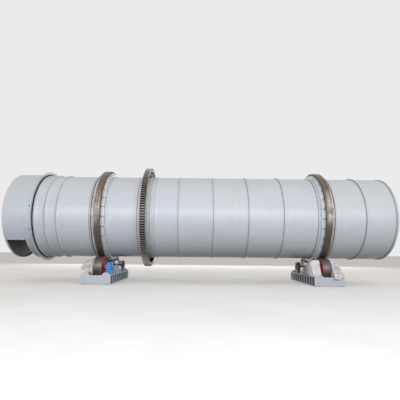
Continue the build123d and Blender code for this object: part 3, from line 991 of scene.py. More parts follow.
@dataclass
class Finishes:
    """Every finish of the dryer, made once."""

    drum_paint: SprayedEnamel = SprayedEnamel("drum_paint", "D2D5D7", "CBD0D2", gloss=0.34, dustiness=0.12)
    base_paint: SprayedEnamel = SprayedEnamel(
        "base_paint", "C3C7CC", "B7BCC2", gloss=0.42, dustiness=0.25, chips=0.03
    )
    made: dict[str, Material] = field(default_factory=dict)

    def build(self) -> None:
        """Make all the materials."""
        painted, turned_along_x, plain = SprayedEnamel, (1, 0, 0), (0, 0, 0)
        specs = (
            self.drum_paint,
            # Pad paint: near-black painted shade along the pads' outward ends
            replace(self.drum_paint, name="pad_paint", painted_shade=self.pad_end_shade(), painted_shade_tone="1F2327"),
            painted("hood_paint", "CACFD2", "C3CACF", gloss=0.36, dustiness=0.12),
            # Painted highlight: lighter paint for the window lip's rolled edge
            painted("lip_highlight_paint", "E4E7E9", "D9DDE0", gloss=0.34, dustiness=0.1),
            self.base_paint,
            self.beam_paint(),
            painted("roller_red", "D2080C", "B4070A", "7E2A26", gloss=0.5, dustiness=0.06, chips=0.02),
            painted("bearing_blue", "4196E8", "3A86D4", "8A98A4", gloss=0.38, dustiness=0.12, chips=0.015),
            # Painted shade: the rear bearings' blue paint drawn as dark grey
            painted("bearing_shade_grey", "4C5156", "3F4449", gloss=0.42, dustiness=0.25, chips=0.02),
            replace(self.base_paint, name="thrust_paint", tone="B9BEC3", cloud="ACB1B6"),
            # Bands of painted highlight on each tread: (share of the width, reach, strength, lowest, highest)
            self.tread(
                Station.LEFT,
                ((0.03, 0.04, 1.0, 0.3, 4.6), (0.4, 0.09, 0.45, 1.9, 3.3), (0.78, 0.022, 0.95, 2.15, 3.2)),
            ),
            self.tread(Station.RIGHT, ((0.5, 0.12, 1.0, 2.0, 3.3), (0.9, 0.024, 0.9, 1.2, 3.3))),
            # Tyre side faces: rougher steel with a darker tone that is painted shade
            TurnedSteel("tyre_side_shaded", "4A423C", "3B342F", "292420", plain, metal=0.2, gloss=0.55, index=1.6),
            TurnedSteel(
                "roller_tread", "68635E", "565049", "3A342F", turned_along_x, metal=0.35, rust=0.35, index=1.8
            ),
            TurnedSteel("shaft_steel", "8F8A84", "75706A", "4E4741", turned_along_x, rust=0.3, gloss=0.34),
            TurnedSteel("thrust_steel", "A6A5A2", "908E8A", "67625C", (0, 0, 1), rust=0.25),
            CastSteel("spring_steel", "B3B5B4", "8D8C88", "6A5647", metal=0.3, rust=0.3),
            CastSteel("hood_inside", "35393A", "24272A", "30261F", metal=0.1, gloss=0.7, rust=0.4),
            CastSteel("inner_steel", "6F6961", "575048", "5B4638", metal=0.25, gloss=0.62, rust=0.7),
            CastSteel("bolt_steel", "8B8984", "6B6762", "5C4638", metal=0.7, gloss=0.4, rust=0.3),
            self.gear_teeth(),
            MouldedRubber(),
            WovenSheet(),
            WovenSheet("wrap_cloth_grey", "D2CCC4", "857C72", 0.75, mark_pitch=7.0),
            WovenSheet("wrap_cloth_marked", "DED8D6", "948C87", 0.7, mark_pitch=8.0),
        )
        for spec in specs:
            self.made[spec.name] = spec.make()

    def beam_paint(self) -> SprayedEnamel:
        """The base's paint, lighter as painted light on the stiffeners' free edges, with painted shade in the
        beams' pockets up to those edges.
        """
        pockets = []
        for station in Station:
            box = NodeBox.of(f"base_beams_{station.value}")
            for way in (-1, 1):
                edge = box.middle.x + way * box.size.x / 2
                # Painted shade in each pocket, fading out before the stiffeners' free edges and kept under
                # the top flange
                pockets.append((edge - way * 0.1, 0.088, 0.85, 0.068, box.high.z - 0.012))
        return replace(
            # The lighter tone is painted light on the stiffeners' free edges
            self.base_paint, name="beam_paint", tone="D3D6DA", cloud="C6CAD0",
            painted_shade=tuple(pockets), painted_shade_tone="454B51",
        )

    def pad_end_shade(self) -> tuple[tuple[float, ...], ...]:
        """Painted shade: the dark lines along the outward ends of the tyre pads."""
        edges = (NodeBox.of("tyre_pads_left").low.x, NodeBox.of("tyre_pads_right").high.x)
        return tuple((edge, 0.04, 1.0, 0.022) for edge in edges)

    def gear_teeth(self) -> GearSteel:
        """The girth gear's finish, fitted to its node."""
        box = NodeBox.of("girth_gear")
        return GearSteel(box.middle.z, box.middle.x, box.size.x / 2, box.size.z / 2)

    def tread(self, station: Station, bands: Sequence[tuple[float, ...]]) -> TurnedSteel:
        """A tyre's tread with bright bands that are partly polished steel and partly painted highlight.

        Args:
            station: The tyre's station.
            bands: (share of the width, reach, strength, lowest, highest) of each band.

        Returns:
            The tread's finish.
        """
        box = NodeBox.of(f"tyre_{station.value}")
        highlight_bands = tuple((box.low.x + share * box.size.x, *rest) for share, *rest in bands)
        return TurnedSteel(
            f"tyre_tread_{station.value}", "645A51", "50473F", "342C27", (1, 0, 0),
            metal=0.2, gloss=0.4, index=1.7, highlight_bands=highlight_bands, brown="6A563E", lower_shade="2C2522",
        )

    def __getitem__(self, name: str) -> Material:
        """The material of this name."""
        return self.made[name]


def dress(nodes: Sequence[str], material: Material) -> None:
    """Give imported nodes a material.

    Args:
        nodes: The nodes' names.
        material: What they get in their first slot.
    """
    for name in nodes:
        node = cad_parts[name]
        node.data.materials.clear()
        node.data.materials.append(material)


def place(piece: Piece, body: str, slot: str, replaces: Sequence[str] = ()) -> None:
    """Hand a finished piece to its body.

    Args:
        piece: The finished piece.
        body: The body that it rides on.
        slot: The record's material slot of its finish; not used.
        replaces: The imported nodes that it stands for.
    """
    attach(piece, body)
    if replaces:
        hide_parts(*replaces)
    log.info("%s rides on %s", piece.name, body)


def ring_marks(
    line: Turning, run: float, radius: float, count: int, facing: Vector | None = None, start: float = 0.0
) -> Marks:
    """Marks round a line.

    Args:
        line: The line to go round.
        run: Distance along the line.
        radius: Distance from the line.
        count: How many marks.
        facing: The way that they face, or None for outwards.
        start: The angle of the first, in steps of the pitch.

    Returns:
        (point, facing) pairs.
    """
    places = []
    for step in range(count):
        point = line.point(run, radius, FULL_TURN * (step + start) / count)
        places.append((point, facing or line.outward(run, point)))
    return places


# Sub-assemblies


@dataclass(frozen=True)
class BoltSize:
    """A hexagon head and the round washer under it."""

    head: float
    height: float
    washer: float
    washer_height: float = 0.003


@dataclass
class Assembly:
    """What the sub-assemblies share."""

    finishes: Finishes
    repeats: Repeats

    def bolt(self, name: str, places: Marks, size: BoltSize, body: Body, slot: str) -> None:
        """Place a set of bolts.

        Args:
            name: The piece's name.
            places: Where the bolts sit and the way that they face.
            size: The size of each.
            body: The body that they ride on.
            slot: The record's material slot.
        """
        values = {
            "Head Radius": size.head, "Head Height": size.height,
            "Washer Radius": size.washer, "Washer Height": size.washer_height,
        }
        bolts = self.repeats.bolts.make(name, marks("bolts", places), self.finishes["bolt_steel"], values)
        place(bolts, body.value, slot)


@dataclass
class Drum(Assembly):
    """The turning drum: shell with ribs and seats, feed end, flights, tyres, pads and girth gear."""

    shell_radius: float = 1.5
    shell_wall: float = 0.014
    rib_height: float = 0.036
    rib_thickness: float = 0.016
    rib_pitch: float = 1.2
    first_feed_rib: float = -0.783
    feed_rib_count: int = 4
    last_rib_from_end: float = 1.088
    discharge_ribs_from_flange: tuple[float, float] = (0.398, 0.79)
    running_ring_from_flange: float = 0.039
    seat_rise: float = 0.016
    seat_width: float = 0.6
    gear_seat_left: float = 0.225
    gear_seat_right: float = 0.339
    gear_stop_height: float = 0.044
    gear_groove: float = 0.14
    weld_size: float = 0.007
    seam_bead: float = 0.011
    seam_ripple: float = 0.003
    seam_steps: int = 24
    seam_angles: tuple[float, float] = (152.0, 198.0)
    shortest_seam: float = 0.3
    seam_sink: float = 0.002
    plate_wave: float = 0.0011
    shell_ease: float = 0.0025
    shell_step: float = 0.15
    shell_segments: int = 192
    band_ease: float = 0.003
    dam_depth: float = 0.21
    tyre_depth: float = 0.11
    tyre_chamfer: float = 0.012
    tyre_ease: float = 0.002
    tyre_step: float = 0.06
    tyre_segments: int = 200
    pad_gap: float = 0.003
    pad_weld: float = 0.0002
    stop_count: int = 30
    stop_width: float = 0.275
    stop_length: float = 0.03
    stop_height: float = 0.036
    stop_gap: float = 0.001
    stop_unevenness: float = 0.06
    stop_seed: int = 4
    gear_bolt_count: int = 12
    gear_bolt_from_tip: float = 0.141
    gear_bolt_spread: float = 0.04
    gear_bolt_start: float = 0.035
    gear_bolt: BoltSize = BoltSize(0.024, 0.02, 0.03, 0.004)

    def __post_init__(self) -> None:
        """Find the drum's own line from its tyres."""
        middle = NodeBox.of("tyre_left").middle
        self.line = Turning.level(0, middle.y, middle.z)
        self.shell_box = NodeBox.of("drum_shell")
        self.gear_box = NodeBox.of("girth_gear")

    def build(self) -> None:
        """Build and place every piece of the drum."""
        self.build_shell()
        self.build_seams()
        self.build_feed_end()
        for station in Station:
            self.build_tyre(station)
            self.build_pads(station)
            self.build_stops(station)
        self.build_gear_bolts()
        self.dress_nodes()

    def painted_shade_edges(self) -> tuple[tuple[float, float, float], ...]:
        """Where painted shade darkens the paint along ribs and edges: (place, reach, strength) of each line.
        """
        lines = [(NodeBox.of("feed_end_ring").low.x - 0.004, 0.03, 0.9)]
        discharge_side = NodeBox.of("tyre_left").low.x
        for start, _, height in self.raised_bands():
            if height == self.gear_stop_height:
                lines.append((start - self.gear_groove, 0.014, 0.7))
            elif height > self.seat_rise and start > discharge_side:
                lines += [(start, 0.009, 0.85), (start - 0.02, 0.05, 0.1)]
            elif start > self.shell_box.low.x + 0.3:
                lines.append((start - self.weld_size, 0.024, 0.85))
        return tuple(lines)

    def rib_places(self) -> list[float]:
        """The middles of the shell's ribs along X."""
        flange_face = NodeBox.of("hood_flange").high.x
        feed = [self.first_feed_rib + n * self.rib_pitch for n in range(self.feed_rib_count)]
        discharge = [flange_face + offset for offset in self.discharge_ribs_from_flange]
        last = self.shell_box.high.x - self.last_rib_from_end
        return discharge + feed + [last, flange_face + self.running_ring_from_flange]

    def raised_bands(self) -> list[tuple[float, float, float]]:
        """Where the shell stands proud: (start, end, height) of each rib, seat and stop ring."""
        half_rib = self.rib_thickness / 2
        bands = [(x - half_rib, x + half_rib, self.rib_height) for x in self.rib_places()]
        for station in Station:
            middle = NodeBox.of(f"tyre_{station.value}").middle.x
            bands.append((middle - self.seat_width / 2, middle + self.seat_width / 2, self.seat_rise))
        gear = self.gear_box.middle.x
        bands.append((gear - self.gear_seat_left, gear + self.gear_seat_right, self.seat_rise))
        stop = gear + self.gear_seat_right
        bands.append((stop, stop + self.rib_thickness, self.gear_stop_height))
        return sorted(bands)

    def shell_profile(self) -> Profile:
        """The shell's section, with a weld fillet at the foot of each rib."""
        left, right = self.shell_box.low.x, self.shell_box.high.x
        skin, weld = self.shell_radius, self.weld_size
        profile: Profile = [(left, skin - self.shell_wall), (left, skin)]
        for start, end, height in self.raised_bands():
            welded = height > self.seat_rise
            if abs(profile[-1][0] - start) < TINY:
                profile.pop()
            else:
                profile += [(start - weld, skin), (start, skin + weld)] if welded else [(start, skin)]
            profile += [(start, skin + height), (end, skin + height)]
            profile += [(end, skin + weld), (end + weld, skin)] if welded else [(end, skin)]
        profile += [(right, skin), (right, skin - self.shell_wall)]
        return divided(eased(profile, self.shell_ease, 1), self.shell_step)

    def wave(self, run: float, angle: float) -> float:
        """How far the rolled plate strays from round.

        Args:
            run: Distance along the drum.
            angle: Angle round it.

        Returns:
            The offset, in metres.
        """
        round_x, round_y = math.cos(angle), math.sin(angle)
        slow = noise.noise(Vector((run * 0.9, round_x * 1.6, round_y * 1.6)))
        quick = noise.noise(Vector((run * 2.6 + 7.0, round_x * 4.0, round_y * 4.0)))
        return self.plate_wave * (slow + 0.4 * quick)

    def build_shell(self) -> None:
        """The shell as one turned plate with its ribs and seats."""
        skin = self.shell_radius - self.shell_wall / 2
        # The shell's paint with painted shade along its ribs, seats, gear seat and feed end band
        paint = replace(self.finishes.drum_paint, name="shell_paint", painted_shade=self.painted_shade_edges())
        shell = turned(
            "shell_plates",
            self.line,
            self.shell_profile(),
            [paint.make(), self.finishes["inner_steel"]],
            segments=self.shell_segments,
            slot_at=lambda normal, radius: 0 if radius > skin else 1,
            ripple=self.wave,
        )
        place(shell, Body.DRUM.value, "drum_paint", ["drum_shell"])

    def build_seams(self) -> None:
        """The long welds that close each rolled can of the shell."""
        bands = self.raised_bands()
        starts = [self.shell_box.low.x] + [end for _, end, _ in bands]
        ends = [start for start, _, _ in bands] + [self.shell_box.high.x]
        size = {"Bead Radius": self.seam_bead, "Ripple": self.seam_ripple}
        beads = []
        for index, (start, end) in enumerate(zip(starts, ends)):
            if end - start < self.shortest_seam:
                continue
            angle = math.radians(self.seam_angles[index % 2])
            runs = [start + (end - start) * step / self.seam_steps for step in range(self.seam_steps + 1)]
            radii = [self.shell_radius + self.wave(run, angle) - self.seam_sink for run in runs]
            points = [self.line.point(run, radius, angle) for run, radius in zip(runs, radii)]
            seam = path("seam", points)
            beads.append(self.repeats.beads.make(f"seam_{index}", seam, self.finishes["drum_paint"], size))
        place(join("shell_seams", beads), Body.DRUM.value, "drum_paint")

    def build_feed_end(self) -> None:
        """The flat band round the feed end and the dam plate inside it."""
        band, dam = NodeBox.of("feed_end_ring"), NodeBox.of("feed_dam")
        dam_hole = dam.size.z / 2 - self.dam_depth
        for node, box, inner, name, finish, slot in (
            ("feed_end_ring", band, self.shell_radius, "end_band", "base_paint", "drum_paint"),
            ("feed_dam", dam, dam_hole, "dam_plate", "inner_steel", "inner_steel"),
        ):
            section = eased(ring_section(box.low.x, box.high.x, inner, box.size.z / 2), self.band_ease)
            place(turned(name, self.line, section, [self.finishes[finish]]), Body.DRUM.value, slot, [node])

    def build_tyre(self, station: Station) -> None:
        """One riding tyre with chamfered edges.

        Args:
            station: The station whose rollers carry it.
        """
        node = f"tyre_{station.value}"
        box = NodeBox.of(node)
        outer, cut = box.size.z / 2, self.tyre_chamfer
        inner = outer - self.tyre_depth
        corners = [
            (box.low.x, inner), (box.low.x, outer - cut), (box.low.x + cut, outer),
            (box.high.x - cut, outer), (box.high.x, outer - cut), (box.high.x, inner),
        ]
        tyre = turned(
            f"riding_{node}",
            self.line,
            divided(eased(corners, self.tyre_ease), self.tyre_step),
            [self.finishes[f"tyre_tread_{station.value}"], self.finishes["tyre_side_shaded"]],
            segments=self.tyre_segments,
            slot_at=lambda normal, radius: 1 if abs(normal.x) > 0.9 else 0,
        )
        place(tyre, Body.DRUM.value, "tyre_steel", [node])

    def build_pads(self, station: Station) -> None:
        """The packing pads under a tyre, drawn close together as they were fitted.

        Args:
            station: The tyre's station.
        """
        node = f"tyre_pads_{station.value}"
        bm = node_copy(node, self.pad_weld)
        origin = self.line.origin
        angles = [math.atan2(vert.co.z - origin.z, vert.co.y - origin.y) for vert in bm.verts]
        count = self.stop_count
        turns = [(math.sin(count * angle), math.cos(count * angle)) for angle in angles]
        phase = math.atan2(sum(part for part, _ in turns), sum(part for _, part in turns)) / count
        pitch = FULL_TURN / count
        # The mean phase is a pad's middle or a gap's middle: the pad's keeps every offset smallest
        tries = [
            [(angle - start + pitch / 2) % pitch - pitch / 2 for angle in angles]
            for start in (phase, phase + pitch / 2)
        ]
        offsets = min(tries, key=lambda found: max(abs(offset) for offset in found))
        stretch = (pitch / 2 - self.pad_gap / 2 / self.shell_radius) / max(offsets)
        for vert, offset in zip(bm.verts, offsets):
            vert.co = origin + Matrix.Rotation(offset * (stretch - 1), 3, "X") @ (vert.co - origin)
        pads = close_mesh(f"packing_pads_{station.value}", bm, [self.finishes["pad_paint"]])
        place(pads, Body.DRUM.value, "drum_paint", [node])

    def build_stops(self, station: Station) -> None:
        """The small blocks on the seat that keep the tyre in its place.

        Args:
            station: The station whose tyre they stand beside.
        """
        box = NodeBox.of(f"tyre_{station.value}")
        middle = box.size.z / 2 - self.tyre_depth + self.stop_height / 2
        places = []
        for way, edge in ((-1, box.low.x), (1, box.high.x)):
            run = edge + way * (self.stop_length / 2 + self.stop_gap)
            places += ring_marks(self.line, run, middle, self.stop_count)
        size = {"Length": self.stop_length, "Width": self.stop_width, "Height": self.stop_height}
        size |= {"Uneven": self.stop_unevenness, "Seed": self.stop_seed}
        name = f"tyre_stops_{station.value}"
        blocks = self.repeats.blocks.make(name, marks("stops", places), self.finishes["drum_paint"], size)
        place(blocks, Body.DRUM.value, "drum_paint")

    def build_gear_bolts(self) -> None:
        """Bolts through the gear's rim into its spring plates."""
        radius = self.gear_box.size.z / 2 - self.gear_bolt_from_tip
        places = []
        for step in range(self.gear_bolt_count):
            angle = FULL_TURN * step / self.gear_bolt_count + self.gear_bolt_start
            for way in (-1, 1):
                run = self.gear_box.middle.x + way * self.gear_bolt_spread
                point = self.line.point(run, radius, angle)
                places.append((point, -self.line.outward(run, point)))
        self.bolt("gear_bolts", places, self.gear_bolt, Body.DRUM, "gear_steel")

    def dress_nodes(self) -> None:
        """Finish the nodes that stay as they are."""
        dress(["girth_gear"], self.finishes["tooth_steel"])
        dress(["gear_spring_plates"], self.finishes["spring_steel"])
        dress(["lifting_flights"], self.finishes["inner_steel"])


@dataclass
class Hood(Assembly):
    """The still discharge hood: shell with its window, end plate, flange, seal and lips."""

    radius: float = 1.552
    wall: float = 0.01
    window_top_angle: float = 37.5
    window_left_strip: float = 0.059
    window_length: float = 0.634
    window_runs: int = 8
    window_steps: int = 48
    rest_steps: int = 96
    seal_lip: float = 1.5003
    flange_bolts: int = 48
    flange_bolt: BoltSize = BoltSize(0.014, 0.011, 0.018)
    ring_ease: float = 0.003
    seal_ease: float = 0.002
    end_step: float = 0.3
    bead_back: float = 0.006
    bead_front: float = 0.004
    bead_half_height: float = 0.013
    screw: BoltSize = BoltSize(0.02, 0.016, 0.026)
    screw_heights: tuple[float, float] = (2.58, 1.8)
    screw_inset: float = 0.08

    def __post_init__(self) -> None:
        """Read the hood's places from its nodes."""
        self.shell_box = NodeBox.of("hood_shell")
        self.flange_box = NodeBox.of("hood_flange")
        middle = self.flange_box.middle
        self.line = Turning.level(0, middle.y, middle.z)

    def build(self) -> None:
        """Build and place every piece of the hood."""
        self.build_shell()
        self.build_rings()
        self.build_lips()

    def build_shell(self) -> None:
        """The hood's rolled shell with the window cut out of its lower part."""
        left, right = self.shell_box.low.x, self.shell_box.high.x
        start = left + self.window_left_strip
        end = start + self.window_length
        inside = {start + (end - start) * n / self.window_runs for n in range(self.window_runs)}
        runs = sorted({left, start, end, right} | inside)
        top = math.radians(self.window_top_angle)
        # Angles go from +Y towards +Z, so the window lies between 180 + top and 360 - top degrees
        low_edge, high_edge = math.pi + top, FULL_TURN - top
        rest = low_edge - high_edge + FULL_TURN
        cut, whole = self.window_steps, self.rest_steps
        angles = [low_edge + (high_edge - low_edge) * n / cut for n in range(cut)]
        angles += [high_edge - FULL_TURN + rest * n / whole for n in range(whole)]
        bm = bmesh.new()
        layers = [
            [[bm.verts.new(self.line.point(x, radius, a)) for a in angles] for x in runs]
            for radius in (self.radius, self.radius - self.wall)
        ]
        for index in range(len(runs) - 1):
            middle = (runs[index] + runs[index + 1]) / 2
            for step in range(len(angles)):
                ahead = (step + 1) % len(angles)
                if start < middle < end and step < cut:
                    continue
                for layer in layers:
                    here, following = layer[index], layer[index + 1]
                    bm.faces.new((here[step], here[ahead], following[ahead], following[step]))
        rims = [edge for edge in bm.edges if len(edge.link_faces) == 1]
        twins = {vert: twin for outer, inner in zip(*layers) for vert, twin in zip(outer, inner)}
        for edge in rims:
            first, second = edge.verts
            if first in twins and second in twins:
                bm.faces.new((first, second, twins[second], twins[first]))
        loose = [vert for vert in bm.verts if not vert.link_faces]
        bmesh.ops.delete(bm, geom=loose, context="VERTS")
        bmesh.ops.recalc_face_normals(bm, faces=bm.faces)
        for face in bm.faces:
            spot = face.calc_center_median() - self.line.origin
            spot.x = 0
            face.material_index = 0 if spot.length > self.radius - self.wall / 2 - TINY else 1
        shell = close_mesh("hood_plates", bm, [self.finishes["hood_paint"], self.finishes["hood_inside"]])
        place(shell, Body.STAND.value, "hood_paint", ["hood_shell"])

    def ring(
        self, name: str, node: str, inner: float, outer: float, edge: float, coats: Sequence[str], slot: str
    ) -> None:
        """Turn and place a plain ring or disc of the hood.

        Args:
            name: The piece's name.
            node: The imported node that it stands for.
            inner: Its inner radius.
            outer: Its outer radius.
            edge: How much its edges are eased.
            coats: Its finishes, the second for faces that look into the hood.
            slot: The record's material slot.
        """
        box = NodeBox.of(node)
        section = eased(ring_section(box.low.x, box.high.x, inner, outer), edge)
        if inner == 0:
            section = divided(section, self.end_step)
        inward = len(coats) - 1
        ring = turned(
            name, self.line, section, [self.finishes[coat] for coat in coats],
            slot_at=lambda normal, radius: inward if normal.x > 0.9 else 0,
        )
        place(ring, Body.STAND.value, slot, [node])

    def build_rings(self) -> None:
        """The round end plate, the flange with its bolts, and the seal behind it."""
        coats = ("hood_paint", "hood_inside")
        outer, edge = self.flange_box.size.z / 2, NodeBox.of("hood_seal").size.z / 2
        ease, rubber = self.ring_ease, "seal_rubber"
        self.ring("hood_end", "hood_end_plate", 0, self.radius, ease, coats, "hood_paint")
        self.ring("hood_ring", "hood_flange", self.radius, outer, ease, ("drum_paint",), "hood_paint")
        self.ring("seal_ring", "hood_seal", self.seal_lip, edge, self.seal_ease, (rubber,), rubber)
        middle, away = (self.radius + outer) / 2, Vector((-1, 0, 0))
        places = ring_marks(self.line, self.flange_box.low.x, middle, self.flange_bolts, away, 0.5)
        self.bolt("flange_bolts", places, self.flange_bolt, Body.STAND, "hood_paint")

    def build_lips(self) -> None:
        """Finish the window's lips, and roll the front one's edge."""
        dress(["window_lips"], self.finishes["hood_paint"])
        box = NodeBox.of("window_lips")
        back, front, rise = self.bead_back, self.bead_front, self.bead_half_height
        edge = [(-back, -rise), (front, -rise), (front, rise), (-back, rise)]
        # The rolled edge gets the lighter lip paint, a painted highlight
        spot, paint = (box.low.y + back, box.middle.z), self.finishes["lip_highlight_paint"]
        bead = extruded("lip_edge", edge, box.low.x, box.high.x, spot, paint, self.ring_ease)
        place(bead, Body.STAND.value, "hood_paint")
        run = self.flange_box.low.x - self.screw_inset
        places = []
        for height in self.screw_heights:
            angle = math.pi - math.asin((height - self.line.origin.z) / self.radius)
            point = self.line.point(run, self.radius, angle)
            places.append((point, self.line.outward(run, point)))
        self.bolt("hood_screws", places, self.screw, Body.STAND, "hood_paint")


@dataclass
class RollerStation(Assembly):
    """One roller station: base, support rollers with bearings, thrust roller."""

    station: Station
    rim: float = 0.05
    recess: float = 0.016
    draft: float = 0.01
    hub_radius: float = 0.105
    shaft_radius: float = 0.06
    hole_count: int = 6
    hole_radius: float = 0.042
    hole_circle: float = 0.1975
    cap_radius: float = 0.16
    cap_start: float = 22.0
    cap_steps: int = 16
    lug_reach: float = 0.205
    lug_drop: float = 0.075
    lug_rise: float = 0.025
    foot_reach: float = 0.27
    foot_height: float = 0.08
    foot_bolt_reach: float = 0.232
    bolt_inset: float = 0.05
    cover_bolts: int = 6
    cover_radius: float = 0.118
    cover_thickness: float = 0.014
    bearing_width: float = 0.18
    block_bolt: BoltSize = BoltSize(0.012, 0.011, 0.016)
    thrust_neck: float = 0.05
    thrust_disc: float = 0.14
    arch_length: float = 0.36
    arch_width: float = 0.3
    arch_round: float = 0.12
    arch_steps: int = 8
    arch_plate: float = 0.024
    plate_bolts: tuple[float, ...] = (-0.19, -0.065, 0.065, 0.19)
    plate_bolt_row: float = 0.176
    screw_edge: float = 0.03
    screw_heights: tuple[float, float] = (0.06, 0.125)
    screw_angles: tuple[float, float] = (30.0, 75.0)
    thrust_bolt: BoltSize = BoltSize(0.012, 0.01, 0.016)

    def __post_init__(self) -> None:
        """Read the station's name as the nodes have it."""
        self.title = self.station.value

    def build(self) -> None:
        """Build and place every piece of the station."""
        for side in Side:
            self.build_roller(side)
            self.build_shaft(side)
            self.build_bearings(side)
        self.build_thrust()
        self.dress_nodes()

    def build_roller(self, side: Side) -> None:
        """A support roller, red on its faces and bare on its tread.

        Args:
            side: Front or rear.
        """
        node = f"roller_{self.title}_{side.value}"
        box = NodeBox.of(node)
        line = Turning.level(box.middle.x, box.middle.y, box.middle.z)
        half, outer = box.size.x / 2, box.size.z / 2
        inner, web = outer - self.rim, half - self.recess
        hub, draft = self.hub_radius, self.draft
        face = [
            (-half, self.shaft_radius), (-half, hub), (-web, hub + draft), (-web, inner - draft),
            (-half, inner), (-half, outer),
        ]
        corners = [*face, *((-run, radius) for run, radius in reversed(face))]
        roller = turned(
            f"support_{node}",
            line,
            eased(corners, 0.005),
            [self.finishes["roller_tread"], self.finishes["roller_red"]],
            segments=96,
            slot_at=lambda normal, radius: 0 if radius > outer - 0.004 else 1,
        )
        bore = ring_section(-half, half, 0, self.hole_radius)
        drills = []
        for step in range(self.hole_count):
            spot = line.point(0, self.hole_circle, FULL_TURN * (step + 0.5) / self.hole_count)
            hole = Turning(spot, line.along)
            drills.append(turned("drill", hole, bore, [], segments=32, slot_at=lambda *_: 1))
        place(cut_out(roller, join("drills", drills)), f"support_{node}", "roller_red", [node])

    def build_shaft(self, side: Side) -> None:
        """A roller's shaft with turned ends.

        Args:
            side: Front or rear.
        """
        node = f"roller_shaft_{self.title}_{side.value}"
        box = NodeBox.of(node)
        line = Turning.level(box.middle.x, box.middle.y, box.middle.z)
        half = box.size.x / 2
        section = eased(ring_section(-half, half, 0, box.size.z / 2), 0.005)
        shaft = turned(f"{node}_bar", line, section, [self.finishes["shaft_steel"]], segments=64)
        place(shaft, f"support_roller_{self.title}_{side.value}", "shaft_steel", [node])

    def housing_outlines(self, height: float) -> tuple[Profile, Profile]:
        """The outlines of a plummer block's body and cap.

        Args:
            height: The shaft's height above the block's foot.

        Returns:
            The body's outline and the cap's, from the shaft's middle.
        """
        split, lug, ear = 0.002, self.lug_reach, self.lug_drop
        foot, cap, low = self.foot_reach, self.cap_radius, self.foot_height - height
        toe = self.foot_height * 0.6 - height
        half = [
            (foot, -height), (foot, toe), (cap + 0.03, low), (cap - 0.01, self.foot_height + 0.05 - height),
            (cap - 0.01, -ear - 0.03), (lug, -ear), (lug, -split),
        ]
        body = [(-foot, -height), *half, *((-across, up) for across, up in reversed(half[1:]))]
        shoulder = self.lug_rise + 0.008
        lid: Profile = [(-lug, split), (lug, split), (lug, self.lug_rise), (cap * 0.98, shoulder)]
        first = math.radians(self.cap_start)
        for step in range(self.cap_steps + 1):
            angle = first + (math.pi - 2 * first) * step / self.cap_steps
            lid.append((cap * math.cos(angle), cap * math.sin(angle)))
        lid += [(-cap * 0.98, shoulder), (-lug, self.lug_rise)]
        return body, lid

    def build_bearings(self, side: Side) -> None:
        """Both plummer blocks of a roller, with caps, covers and bolts.

        Args:
            side: Front or rear.
        """
        node = f"bearings_{self.title}_{side.value}"
        box, width = NodeBox.of(node), self.bearing_width
        roller = NodeBox.of(f"roller_{self.title}_{side.value}").middle
        line, spot = Turning.level(0, roller.y, roller.z), (roller.y, roller.z)
        body, lid = self.housing_outlines(roller.z - box.low.z)
        # The rear blocks get dark grey paint, which is painted shade on their blue
        paint = self.finishes["bearing_blue" if side is Side.FRONT else "bearing_shade_grey"]
        bore = self.shaft_radius + 0.004
        blocks, heads = [], []
        for low, high in ((box.low.x, box.low.x + width), (box.high.x - width, box.high.x)):
            blocks.append(extruded("body", body, low, high, spot, paint, 0.006))
            blocks.append(extruded("lid", lid, low + 0.015, high - 0.015, spot, paint, 0.008))
            for start, way in ((low, -1), (high, 1)):
                end = start + way * self.cover_thickness
                cover = eased(ring_section(start - way * 0.004, end, bore, self.cover_radius), 0.003)
                blocks.append(turned("cover", line, cover, [paint], segments=48))
                circle, out = self.cover_radius - 0.02, Vector((way, 0, 0))
                heads += ring_marks(line, end, circle, self.cover_bolts, out, 0.5)
            for way in (-1, 1):
                leaning = Vector((0, way * 0.3, 1)).normalized()
                for x in (low + self.bolt_inset, high - self.bolt_inset):
                    lug = (x, roller.y + way * (self.lug_reach - 0.021), roller.z + self.lug_rise)
                    foot = (x, roller.y + way * self.foot_bolt_reach, box.low.z + self.foot_height * 0.72)
                    heads += [(Vector(lug), UP), (Vector(foot), leaning)]
        ending, slot = f"{self.title}_{side.value}", "bearing_blue"
        place(join(f"plummer_blocks_{ending}", blocks), Body.STAND.value, slot, [node])
        self.bolt(f"block_bolts_{ending}", heads, self.block_bolt, Body.STAND, slot)

    def build_thrust(self) -> None:
        """The thrust roller on its upright shaft, and its housing on the inner beam."""
        node = f"thrust_roller_{self.title}"
        box = NodeBox.of(node)
        line = Turning.upright(box.middle.x, box.middle.y)
        outer, neck = box.size.x / 2, self.thrust_neck
        top, bottom, low = box.high.z, box.high.z - self.thrust_disc, box.low.z
        corners = [
            (low, 0), (low, neck), (bottom, neck), (bottom, outer - 0.015), (bottom + 0.015, outer),
            (top - 0.01, outer), (top, outer - 0.03), (top, 0.09), (top - 0.012, 0.08), (top - 0.012, 0),
        ]
        steel = [self.finishes["thrust_steel"]]
        disc = turned(f"{node}_disc", line, eased(corners, 0.004), steel, segments=96)
        place(disc, f"thrust_{self.title}", "thrust_steel", [node])
        self.build_thrust_housing(line, low)

